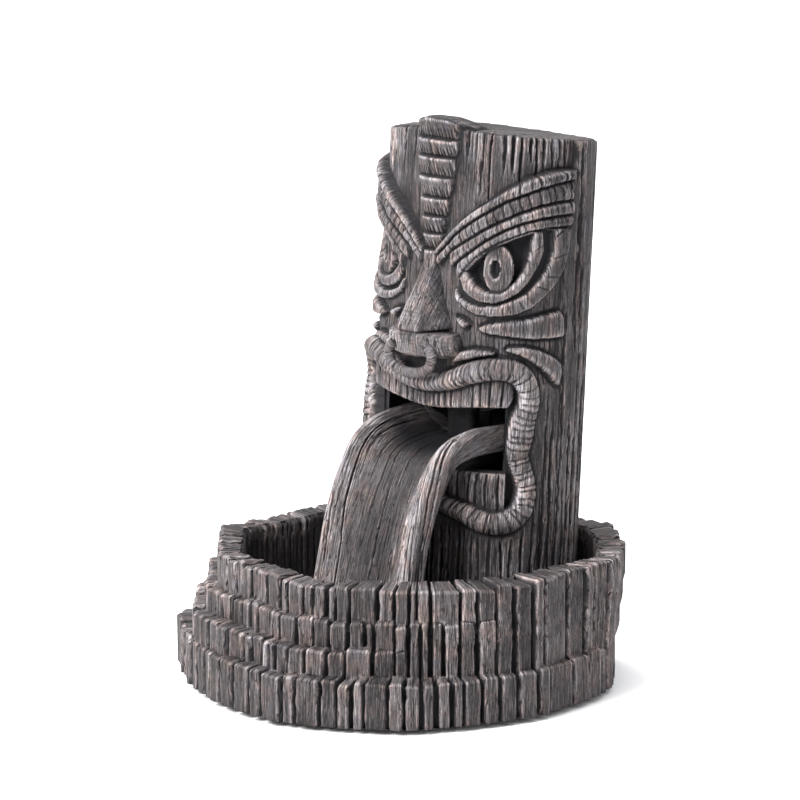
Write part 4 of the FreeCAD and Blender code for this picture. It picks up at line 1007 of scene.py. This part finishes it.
def make_basin():
    # columns evenly spaced along the bottom outline
    ang = np.linspace(-math.pi, math.pi, 20001)
    r4 = radius_at(TIER4, ang)
    x, y = r4 * np.cos(ang), r4 * np.sin(ang)
    L = np.concatenate([[0], np.cumsum(np.hypot(np.diff(x), np.diff(y)))])
    PER = L[-1]
    N = int(PER / (0.78))
    s = np.arange(N) * PER / N
    a = np.interp(s, L, ang)
    R = {}
    ker = 5
    for name, poly in (("rim", RIM), ("t2", TIER2), ("t3", TIER3), ("t4", TIER4), ("pool", POOL)):
        r = radius_at(poly, a)
        w = np.ones(2 * ker + 1) / (2 * ker + 1)
        rr = np.convolve(np.concatenate([r[-ker:], r, r[:ker]]), w, "valid")
        R[name] = rr
    base_pos, rs0 = planks(s, PER, 3, 13.5)

    def cells(seed, mean, jitter):
        pos, rs = planks(s, PER, seed, mean, base_pos, jitter)
        k = np.searchsorted(pos, s, side="right") - 1
        nxt = np.append(pos[1:], pos[0] + PER)
        lo = np.where(k < 0, pos[-1] - PER, pos[k])
        hi = np.where(k < 0, pos[0], nxt[k])
        d = np.minimum(s - lo, hi - s)
        kk = np.where(k < 0, len(pos) - 1, k)
        v = rs.rand(len(pos), 6)
        wid = 1.5 + 2.1 * rs.rand(len(pos)) ** 1.5
        dep = 3.0 + 2.6 * rs.rand(len(pos))
        near_lo = (s - lo) < (hi - s)
        jn = np.where(near_lo, kk, (kk + 1) % len(pos))
        mid = (s - (lo + hi) / 2) / np.maximum(hi - lo, 1)
        return v[kk], d, wid[jn], dep[jn], mid
    tiers = []
    for name, z0, z1, seed, jit in (("t4", 3.0, 28.0, 101, 2.2), ("t3", 28.0, 44.0, 103, 1.2), ("t2", 44.0, 57.5, 107, 1.0), ("rim", 57.5, 75.0, 109, 1.2)):
        v, d, wid, dep, mid = cells(seed, 12.0, jit)
        dr = 2.0 * (v[:, 0] - 0.5) + 1.6 * (v[:, 1] - 0.5) * mid * 2
        dz = 2.0 * (v[:, 2] - 0.5) + 1.2 * (v[:, 3] - 0.5) * mid * 2
        if name == "rim":
            dz = dz * 1.25
        if name == "t4":
            dz = dz * 0.9
        dz = dz - {"t4": 1.0, "t3": 3.0, "t2": 3.0, "rim": 2.8}[name] * np.exp(-((a + 0.95) / 0.8) ** 2)
        tiers.append(dict(name=name, z0=z0, z1=z1, v=v, d=d, wid=wid, dep=dep, dr=dr, dz=dz))
    rows = []      # each: r, z, nr, nz, tier index, along coordinate, weight
    t4, t3, t2, t1 = tiers
    # where two tiers run flush the planks run through both
    kb = (np.searchsorted(base_pos, s, side="right") - 1) % len(base_pos)

    def flush(lo, hi):
        stp = R[lo] - R[hi]
        mean = np.array([stp[kb == i].mean() if (kb == i).any() else 9.0 for i in range(len(base_pos))])
        return (mean < 1.3)[kb]
    fl = [flush("t4", "t3"), flush("t3", "t2"), flush("t2", "rim")]
    for dst, src, m in ((t3, t2, fl[1]), (t1, t2, fl[2]), (t4, t3, fl[0])):
        for k in ("v", "d", "wid", "dep"):
            q = m[:, None] if k == "v" else m
            dst[k] = np.where(q, src[k], dst[k])
        dst["dr"] = np.where(m, src["dr"], dst["dr"])
    for i, m in enumerate(fl):
        tiers[i]["dz"] = np.where(m, 0.0, tiers[i]["dz"])
    fm = [m.astype(float) for m in fl] + [0.0 * s]
    lim = 0.0

    def add(r, z, nr, nz, ti, al):
        rows.append((r, z, nr + 0 * r, nz + 0 * r, ti, al))
    al = 0.0
    # underside, from the middle to the outer edge
    for f in (0.0, 0.45, 0.8, 0.97):
        add(R["t4"] * f, 3.0 + 0 * s, 0, -1, -1, -20 + 20 * f)

    def face(t, r, z_lo, z_hi, st, rd):
        nonlocal al
        n = max(4, int(round(np.mean(z_hi - z_lo) / st)))
        for i in range(n + 1):
            f = i / n
            z = z_lo + (z_hi - z_lo) * f
            # round the top edge
            e = np.clip((z_hi - z) / rd, 0, 1)
            inset = rd * (1 - np.sqrt(np.clip(1 - (1 - e) ** 2, 0, 1))) * (1 - fm[t])
            up = (1 - e) * (1 - fm[t])
            add(r - inset, z, np.sqrt(1 - up ** 2 * 0.8), up * 0.9, t, al + i * st)
        al += n * st

    def tread(t, r_out, r_in, z_out, z_in, st, rd):
        nonlocal al
        n = max(4, int(round(10.0 / st)))
        for i in range(1, n + 1):
            f = i / n
            add(r_out + (r_in - r_out) * f, z_out + (z_in - z_out) * f, fm[t], 1 - fm[t], t, al + i * st)
        al += n * st
    rd = 1.7
    zt = [t["z1"] + t["dz"] for t in tiers]
    rr = [R[t["name"]] + t["dr"] for t in tiers]
    # keep each tier inside the one below, except where they run flush
    for i in range(1, 4):
        rr[i] = np.where(fl[i - 1], rr[i], np.minimum(rr[i], np.maximum(rr[i - 1] - 0.2, 0)))
    st = 0.8
    rr[0] = rr[0] - 0.4
    z_lo = 3.0 + 0 * s
    for i in range(4):
        face(i, rr[i], z_lo, zt[i] - (3.0 * fm[i] if i < 3 else 0), st, rd)
        if i < 3:
            r_out = rr[i] - rd * (1 - fm[i])
            r_in = np.where(fl[i], rr[i + 1], np.minimum(rr[i + 1], r_out - 0.1))
            z_lo = zt[i] + np.where(fl[i], 3.0, 0.5)
            tread(i, r_out, r_in, zt[i] - 3.0 * fm[i], z_lo, st, rd)
    rp = R["pool"]
    n = 12
    z_in = 75.0 + 0.6 * (zt[3] - 75.0) - 0.8
    for i in range(1, n + 1):
        f = i / n
        r = (rr[3] - rd) + (rp + 1.6 - (rr[3] - rd)) * f
        z = zt[3] + (z_in - zt[3]) * f
        add(r, z, 0.15 * f * -1, 1, 3, al + i * st)
    al += n * st
    zs = np.linspace(0, 1, 40)
    for i, f in enumerate(zs):
        e = np.clip((z_in * f) / 1.8, 0, 1)
        z = z_in - 1.0 * 0 - (z_in - 10.0) * f
        top = np.clip(1 - (z_in - z) / 1.8, 0, 1)
        add(rp + 1.6 * (1 - np.sqrt(np.clip(1 - top ** 2, 0, 1))), z - 0.0, -1, 0.3 * top, 3 if f < 0.12 else -2, al + i * 1.6)
    al += 60
    for f in (0.985, 0.93, 0.82, 0.66, 0.45, 0.2, 0.0):
        add(rp * f, 10.0 + 0 * s, 0, 1, -3, al + (1 - f) * 60)
    M = len(rows)
    Rg = np.array([q[0] for q in rows])
    Zg = np.array([q[1] for q in rows])
    NR = np.array([q[2] for q in rows])
    NZ = np.array([q[3] for q in rows])
    TI = [q[4] for q in rows]
    AL = np.array([np.full(N, q[5]) for q in rows])
    S = np.tile(s, (M, 1))
    g = grain(S, AL, 501, PER)
    H = np.zeros((M, N))
    dark = np.zeros((M, N))
    rnd = np.full((M, N), 0.5)
    for i, ti in enumerate(TI):
        if ti >= 0:
            t = tiers[ti]
            wob = 0.9 * (2 * vnoise(AL[i] / 6.0, S[i] / 14.0, 511) - 1)
            d = np.abs(t["d"] + wob * 0.5)
            cut = np.clip(1 - d / (t["wid"] * 0.62), 0, 1)
            H[i] = 0.40 * g[i] - t["dep"] * np.minimum(1, cut * 1.5) - 1.0 * np.exp(-(d / 1.3) ** 2)
            dark[i] = 0.95 * sstep(0.1, 0.6, cut)
            rnd[i] = t["v"][:, 4]
            # secondary splits: strong at the block tops
            z0, z1 = t["z0"], t["z1"]
            f = np.clip((Zg[i] - z0) / (z1 - z0), 0, 1)
            c2, cell, mid = ticks(S[i] + 1.4 * vnoise(AL[i] / 7.0, S[i] / 10.0, 513), 521, 5.4, 0.5, PER + 30)
            H[i] -= (0.30 + 1.3 * f ** 2) * c2 * (0.2 + 0.8 * t["v"][:, 5])
            dark[i] = np.maximum(dark[i], 0.55 * sstep(0.6, 0.95, c2) * f * (0.3 + 0.7 * t["v"][:, 5]))
        elif ti == -2:
            c2, cell, mid = ticks(S[i] + 0.8 * vnoise(AL[i] / 9.0, S[i] / 10.0, 515), 531, 5.0, 0.8, PER + 30)
            H[i] = 0.45 * g[i] - 1.2 * c2
            dark[i] = 0.25 + 0.35 * sstep(0.3, 0.9, c2)
        elif ti == -3:
            H[i] = 0.5 * (vnoise(S[i] / 9, AL[i] / 9, 541) - 0.5)
            dark[i] = 0.45
    H[:4] = 0.0
    H[0] = 0.0
    H[-1] = 0.0
    # displace along the normals; the wall's bottom row is kept no further out than the row above and held at z = 3, and
    # nothing drops below z = 3
    Rn = Rg + NR * H
    Zn = Zg + NZ * H
    Rn[4] = np.minimum(Rn[4], Rn[5])
    Zn[4] = 3.0
    Zn = np.maximum(Zn, 3.0)
    X, Y = Rn * np.cos(a), Rn * np.sin(a)
    # cord notch in the back of the rim
    for i, ti in enumerate(TI):
        m = (np.abs(X[i]) < 4.5) & (Y[i] > 60) & (Zn[i] > 66.0)
        Zn[i][m] = 66.0
    blk = 0.0
    B = Builder()
    mk = masks(H + 0.0, True, (1, 1), (6, 5), dark, rnd, 0.55)
    mk[..., 1] = np.clip(mk[..., 1] - 0.01, 0, 0.72)
    # the tops of the blocks are worn pale
    for i, ti in enumerate(TI):
        if ti >= 0:
            mk[i, :, 1] = np.clip(mk[i, :, 1] + 0.14 * (NZ[i] > 0.3) * (NZ[i] < 0.95), 0, 1)
    idx = B.verts(np.stack([X, Y, Zn], -1), mk, np.stack([S, AL, 0 * S], -1)).reshape(M, N)
    idx[0] = idx[0, 0]
    idx[-1] = idx[-1, 0]
    B.grid(idx, wrap=True)
    return B.mesh("stepped_basin_carved")


# -------------------------------------------------------------- materials --
def node(nt, kind, **kw):
    n = nt.nodes.new(kind)
    for k, v in kw.items():
        setattr(n, k, v)
    return n


def math_node(nt, op, a, b=None, clamp=False):
    n = node(nt, "ShaderNodeMath", operation=op)
    n.use_clamp = clamp
    for i, v in enumerate((a, b)):
        if v is None:
            continue
        if isinstance(v, (int, float)):
            n.inputs[i].default_value = v
        else:
            nt.links.new(v, n.inputs[i])
    return n.outputs[0]


def mix_col(nt, fac, a, b, blend="MIX"):
    n = node(nt, "ShaderNodeMix", data_type="RGBA", blend_type=blend)
    for sock, v in ((n.inputs[0], fac), (n.inputs[6], a), (n.inputs[7], b)):
        if isinstance(v, (int, float)):
            sock.default_value = v
        elif isinstance(v, (tuple, list)):
            sock.default_value = tuple(v) + (1.0,) if len(v) == 3 else v
        else:
            nt.links.new(v, sock)
    return n.outputs[2]


def ramp(nt, fac, stops):
    n = node(nt, "ShaderNodeValToRGB")
    el = n.color_ramp.elements
    while len(el) > 1:
        el.remove(el[-1])
    el[0].position = stops[0][0]
    el[0].color = tuple(stops[0][1]) + (1,)
    for p, c in stops[1:]:
        e = el.new(p)
        e.color = tuple(c) + (1,)
    nt.links.new(fac, n.inputs[0])
    return n.outputs[0]


def resin(name, warm=0.0, lift=0.0):
    m = bpy.data.materials.new(name)
    m.use_nodes = True
    nt = m.node_tree
    nt.nodes.clear()
    out = node(nt, "ShaderNodeOutputMaterial")
    bs = node(nt, "ShaderNodeBsdfPrincipled")
    nt.links.new(bs.outputs[0], out.inputs[0])
    at = node(nt, "ShaderNodeAttribute", attribute_name="Mask")
    sep = node(nt, "ShaderNodeSeparateColor")
    nt.links.new(at.outputs["Color"], sep.inputs[0])
    cav, edge, rnd = sep.outputs[0], sep.outputs[1], sep.outputs[2]
    gc = node(nt, "ShaderNodeAttribute", attribute_name="gc")
    tc = node(nt, "ShaderNodeTexCoord")

    def stretched(sx, sy, sz, detail, rough=0.6):
        mp = node(nt, "ShaderNodeMapping")
        mp.inputs["Scale"].default_value = (sx, sy, sz)
        nt.links.new(gc.outputs["Vector"], mp.inputs["Vector"])
        nz = node(nt, "ShaderNodeTexNoise")
        nz.inputs["Scale"].default_value = 1.0
        nz.inputs["Detail"].default_value = detail
        nz.inputs["Roughness"].default_value = rough
        nt.links.new(mp.outputs[0], nz.inputs["Vector"])
        return nz.outputs["Fac"]
    fib = stretched(1.6, 0.075, 1.0, 4.0)
    fib2 = stretched(3.4, 0.16, 1.0, 3.0)
    speck = stretched(1.1, 0.5, 1.0, 5.0, 0.7)
    big = node(nt, "ShaderNodeTexNoise")
    big.inputs["Scale"].default_value = 34.0
    big.inputs["Detail"].default_value = 3.0
    nt.links.new(tc.outputs["Object"], big.inputs["Vector"])
    big2 = node(nt, "ShaderNodeTexNoise")
    big2.inputs["Scale"].default_value = 95.0
    big2.inputs["Detail"].default_value = 3.0
    nt.links.new(tc.outputs["Object"], big2.inputs["Vector"])
    # tone: worn edges light (the nose's front also carries painted light), hollows dark, fibres in between
    t = math_node(nt, "MULTIPLY_ADD", edge, 1.25)
    t.node.inputs[2].default_value = -0.30 + lift
    f1 = math_node(nt, "MULTIPLY", math_node(nt, "SUBTRACT", fib, 0.5), 1.30)
    f2 = math_node(nt, "MULTIPLY", math_node(nt, "SUBTRACT", fib2, 0.5), 1.05)
    f3 = math_node(nt, "MULTIPLY", math_node(nt, "SUBTRACT", speck, 0.5), 0.60)
    f4 = math_node(nt, "MULTIPLY", math_node(nt, "SUBTRACT", rnd, 0.5), 0.26)
    f5 = math_node(nt, "MULTIPLY", math_node(nt, "SUBTRACT", big.outputs["Fac"], 0.5), 0.45)
    for f in (f1, f2, f3, f4, f5):
        t = math_node(nt, "ADD", t, f)
    # hairline drying cracks along the grain
    hair = None
    for sx, sy, w, amp in ((0.34, 0.022, 0.016, 1.0), (0.62, 0.040, 0.018, 0.90)):
        n0 = stretched(sx, sy, 1.0, 2.0, 0.45)
        d0 = math_node(nt, "ABSOLUTE", math_node(nt, "SUBTRACT", n0, 0.5))
        l0 = math_node(nt, "SUBTRACT", 1.0, math_node(nt, "DIVIDE", d0, w), clamp=True)
        sel = math_node(nt, "MULTIPLY", math_node(nt, "SUBTRACT", stretched(0.11 * sx / 0.34, 0.016, 1.0, 1.0), 0.41), 14.0, clamp=True)
        l0 = math_node(nt, "MULTIPLY", math_node(nt, "MULTIPLY", l0, sel), amp)
        hair = l0 if hair is None else math_node(nt, "MAXIMUM", hair, l0)
    cav = math_node(nt, "MAXIMUM", cav, math_node(nt, "MULTIPLY", hair, 0.9))
    t = math_node(nt, "SUBTRACT", t, math_node(nt, "MULTIPLY", cav, 0.42), clamp=True)
    base = ramp(nt, t, ((0.0, (0.007, 0.006, 0.007)), (0.20, (0.021, 0.018, 0.019)), (0.38, (0.053, 0.046, 0.047)), (0.58, (0.108, 0.095, 0.095)), (0.80, (0.240, 0.215, 0.214)), (1.0, (0.43, 0.395, 0.39))))
    # stain: pink, slate and ochre passes over the grey
    tint = ramp(nt, big2.outputs["Fac"], ((0.30, (0.80, 0.92, 1.12)), (0.43, (0.93, 0.98, 1.05)), (0.52, (1.0, 1.0, 1.0)), (0.60, (1.18, 0.93, 0.90)), (0.70, (1.14, 1.0, 0.80))))
    tint2 = ramp(nt, speck, ((0.35, (0.88, 0.97, 1.10)), (0.5, (1, 1, 1)), (0.66, (1.20, 0.95, 0.88))))
    col = mix_col(nt, 0.45, base, tint, "MULTIPLY")
    col = mix_col(nt, 0.35, col, tint2, "MULTIPLY")
    if warm:
        col = mix_col(nt, warm, col, (1.08, 0.96, 0.88), "MULTIPLY")
    # dark wash settled in the cracks; the same channel carries painted shade inside the mouth and column, under the
    # crest scales and round raised pieces
    cz = math_node(nt, "MULTIPLY_ADD", cav, 1.25)
    cz.node.inputs[2].default_value = -0.16
    cz.node.use_clamp = True
    col = mix_col(nt, cz, col, (0.0075, 0.0065, 0.0085))
    nt.links.new(col, bs.inputs["Base Color"])
    rg = math_node(nt, "MULTIPLY_ADD", fib, 0.22)
    rg.node.inputs[2].default_value = 0.56
    nt.links.new(rg, bs.inputs["Roughness"])
    bs.inputs["Specular IOR Level"].default_value = 0.36
    bsum = math_node(nt, "ADD", math_node(nt, "MULTIPLY", fib, 0.7), math_node(nt, "MULTIPLY", fib2, 0.45))
    bsum = math_node(nt, "ADD", bsum, math_node(nt, "MULTIPLY", speck, 0.25))
    bsum = math_node(nt, "SUBTRACT", bsum, math_node(nt, "MULTIPLY", hair, 0.6))
    bp = node(nt, "ShaderNodeBump")
    bp.inputs["Strength"].default_value = 0.85
    bp.inputs["Distance"].default_value = 0.0012
    nt.links.new(bsum, bp.inputs["Height"])
    nt.links.new(bp.outputs[0], bs.inputs["Normal"])
    return m


def simple(name, col, rough=0.5, metal=0.0, coat=0.0, scale=400.0, var=0.12, bump=0.15, trans=0.0, spec=0.5, alpha=1.0):
    m = bpy.data.materials.new(name)
    m.use_nodes = True
    nt = m.node_tree
    bs = nt.nodes["Principled BSDF"]
    tc = node(nt, "ShaderNodeTexCoord")
    nz = node(nt, "ShaderNodeTexNoise")
    nz.inputs["Scale"].default_value = scale
    nz.inputs["Detail"].default_value = 4.0
    nt.links.new(tc.outputs["Object"], nz.inputs["Vector"])
    lo = tuple(c * (1 - var) for c in col)
    hi = tuple(min(1.0, c * (1 + var)) for c in col)
    c = ramp(nt, nz.outputs["Fac"], ((0.3, lo), (0.7, hi)))
    nt.links.new(c, bs.inputs["Base Color"])
    r = math_node(nt, "MULTIPLY_ADD", nz.outputs["Fac"], 0.15)
    r.node.inputs[2].default_value = rough - 0.07
    nt.links.new(r, bs.inputs["Roughness"])
    bs.inputs["Metallic"].default_value = metal
    bs.inputs["Coat Weight"].default_value = coat
    bs.inputs["Specular IOR Level"].default_value = spec
    bs.inputs["Transmission Weight"].default_value = trans
    bs.inputs["Alpha"].default_value = alpha
    bp = node(nt, "ShaderNodeBump")
    bp.inputs["Strength"].default_value = bump
    bp.inputs["Distance"].default_value = 0.0003
    nt.links.new(nz.outputs["Fac"], bp.inputs["Height"])
    nt.links.new(bp.outputs[0], bs.inputs["Normal"])
    return m


def give(ob, mat):
    ob.data.materials.clear()
    ob.data.materials.append(mat)


# ----------------------------------------------------------------- build ---
m_fig = resin("resin_figure_paint")
m_bas = resin("resin_basin_paint", warm=0.12)
m_ton = resin("resin_tongue_paint", lift=0.21)

column = make_column()
give(column, m_fig)
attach(column, "figure")
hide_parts("tiki_column")

tongue = make_tongue()
give(tongue, m_ton)
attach(tongue, "figure")
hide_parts("tongue_chute")

basin = make_basin()
give(basin, m_bas)
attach(basin, "basin")
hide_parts("stepped_basin")

looks = {
    "pump_body": simple("pump_black_abs", (0.020, 0.020, 0.022), 0.38, scale=900, bump=0.2),
    "volute_cover": None, "intake_cover": None,
    "flow_slider": simple("pump_grey_acetal", (0.20, 0.21, 0.22), 0.45, scale=700),
    "hose_clip": None,
    "impeller": simple("impeller_white_acetal", (0.74, 0.74, 0.71), 0.42, scale=600),
    "rotor_magnet": simple("ferrite_ground", (0.045, 0.045, 0.05), 0.42, metal=0.4, scale=1500),
    "rotor_shaft": simple("shaft_alumina", (0.80, 0.80, 0.77), 0.15, scale=900, bump=0.03),
    "rubber": simple("rubber_black_moulded", (0.022, 0.022, 0.022), 0.72, scale=1200, bump=0.25, spec=0.3),
    "foot": simple("foot_rubber_moulded", (0.040, 0.040, 0.042), 0.78, scale=1400, bump=0.3, spec=0.3),
    "stator_core": simple("lamination_steel_stack", (0.36, 0.36, 0.37), 0.35, metal=0.9, scale=300),
    "stator_coil": simple("copper_enamelled", (0.55, 0.22, 0.09), 0.32, metal=0.85, scale=1800),
    "filter_sponge": simple("sponge_open_cell", (0.05, 0.05, 0.055), 0.95, scale=2600, var=0.6, bump=0.9, spec=0.1),
    "delivery_hose": simple("hose_vinyl_smoke", (0.10, 0.11, 0.11), 0.22, trans=0.35, scale=120, var=0.05, bump=0.02),
    # near-black elbow: painted shade standing in for the dark inside the mouth
    "spout_elbow": simple("elbow_pvc_painted_shade_black", (0.016, 0.016, 0.017), 0.5, scale=800, spec=0.2),
}
looks["volute_cover"] = looks["intake_cover"] = looks["pump_body"]
looks["hose_clip"] = looks["flow_slider"]
for i in range(1, 5):
    looks["basin_foot_%d" % i] = looks["foot"]
    looks["column_pad_%d" % i] = looks["foot"]
    looks["suction_cup_%d" % i] = looks["rubber"]
for n in ("cord_gland", "shaft_bush_rear", "cover_o_ring"):
    looks[n] = looks["rubber"]
for name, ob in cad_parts.items():
    if name in looks:
        give(ob, looks[name])

# ----------------------------------------------------------------- stage ---
def make_floor():
    me = bpy.data.meshes.new("studio_floor")
    prof = [(-7.0 + k, 0.0) for k in range(15)]
    d = Vector((-math.sin(math.radians(45.5)), math.cos(math.radians(45.5)), 0))
    e = Vector((d.y, -d.x, 0))
    vs, fs = [], []
    for a, z in prof:
        for w in (-7.0, 7.0):
            p = d * a + e * w
            vs.append((p.x, p.y, z))
    for i in range(len(prof) - 1):
        fs.append((2 * i, 2 * i + 1, 2 * i + 3, 2 * i + 2))
    me.from_pydata(vs, [], fs)
    for p in me.polygons:
        p.use_smooth = True
    ob = bpy.data.objects.new("studio_floor", me)
    bpy.context.scene.collection.objects.link(ob)
    m = simple("floor_paper", (0.93, 0.93, 0.935), 0.9, scale=60, var=0.008, bump=0.01, spec=0.1)
    give(ob, m)


make_floor()


def area(name, loc, size, power, target=(0.0, 0.0, 0.14), col=(1, 1, 1)):
    li = bpy.data.lights.new(name, "AREA")
    li.shape = "RECTANGLE"
    li.size, li.size_y = size
    li.energy = power
    li.color = col
    ob = bpy.data.objects.new(name, li)
    ob.location = loc
    ob.rotation_euler = (Vector(target) - Vector(loc)).to_track_quat("-Z", "Y").to_euler()
    bpy.context.scene.collection.objects.link(ob)


def from_cam(az, el, dist):
    a, e = math.radians(az), math.radians(el)
    return (math.sin(a) * math.cos(e) * dist, -math.cos(a) * math.cos(e) * dist, math.sin(e) * dist)


area("key_left", from_cam(-5, 38, 1.5), (0.8, 0.8), 44.0, col=(1.0, 0.99, 0.98))
area("fill_right", from_cam(95, 30, 1.6), (0.9, 0.9), 3.0, col=(0.97, 0.98, 1.0))
area("top_soft", from_cam(30, 86, 1.7), (1.2, 1.2), 17.0)
area("back_left", from_cam(-110, 40, 1.7), (0.8, 0.8), 9.0)

area("floor_wash", from_cam(225.5, 45, 3.4), (3.6, 3.2), 80.0, target=from_cam(225.5, 0, 2.9))

bpy.context.scene.view_settings.view_transform = "Standard"
bpy.context.scene.view_settings.look = "None"
world = bpy.data.worlds.new("studio")
bpy.context.scene.world = world
world.use_nodes = True
bg = world.node_tree.nodes["Background"]
bg.inputs[0].default_value = (0.97, 0.98, 1.0, 1)
bg.inputs[1].default_value = 0.62

cam = bpy.data.cameras.new("cam")
cam.sensor_width = 36.0
cam.lens = 4579.5 / 800.0 * 36.0
cam.shift_x = -20.0 / 800.0
cam.shift_y = 3.9 / 800.0
cam.clip_end = 20.0
co = bpy.data.objects.new("camera", cam)
loc = Vector(((1711.8 + OX) * MM, (-1682.2 + OY) * MM, 0.637))
co.location = loc
co.rotation_euler = (Vector((OX * MM, OY * MM, 0.150)) - loc).to_track_quat("-Z", "Y").to_euler()
bpy.context.scene.collection.objects.link(co)
bpy.context.scene.camera = co
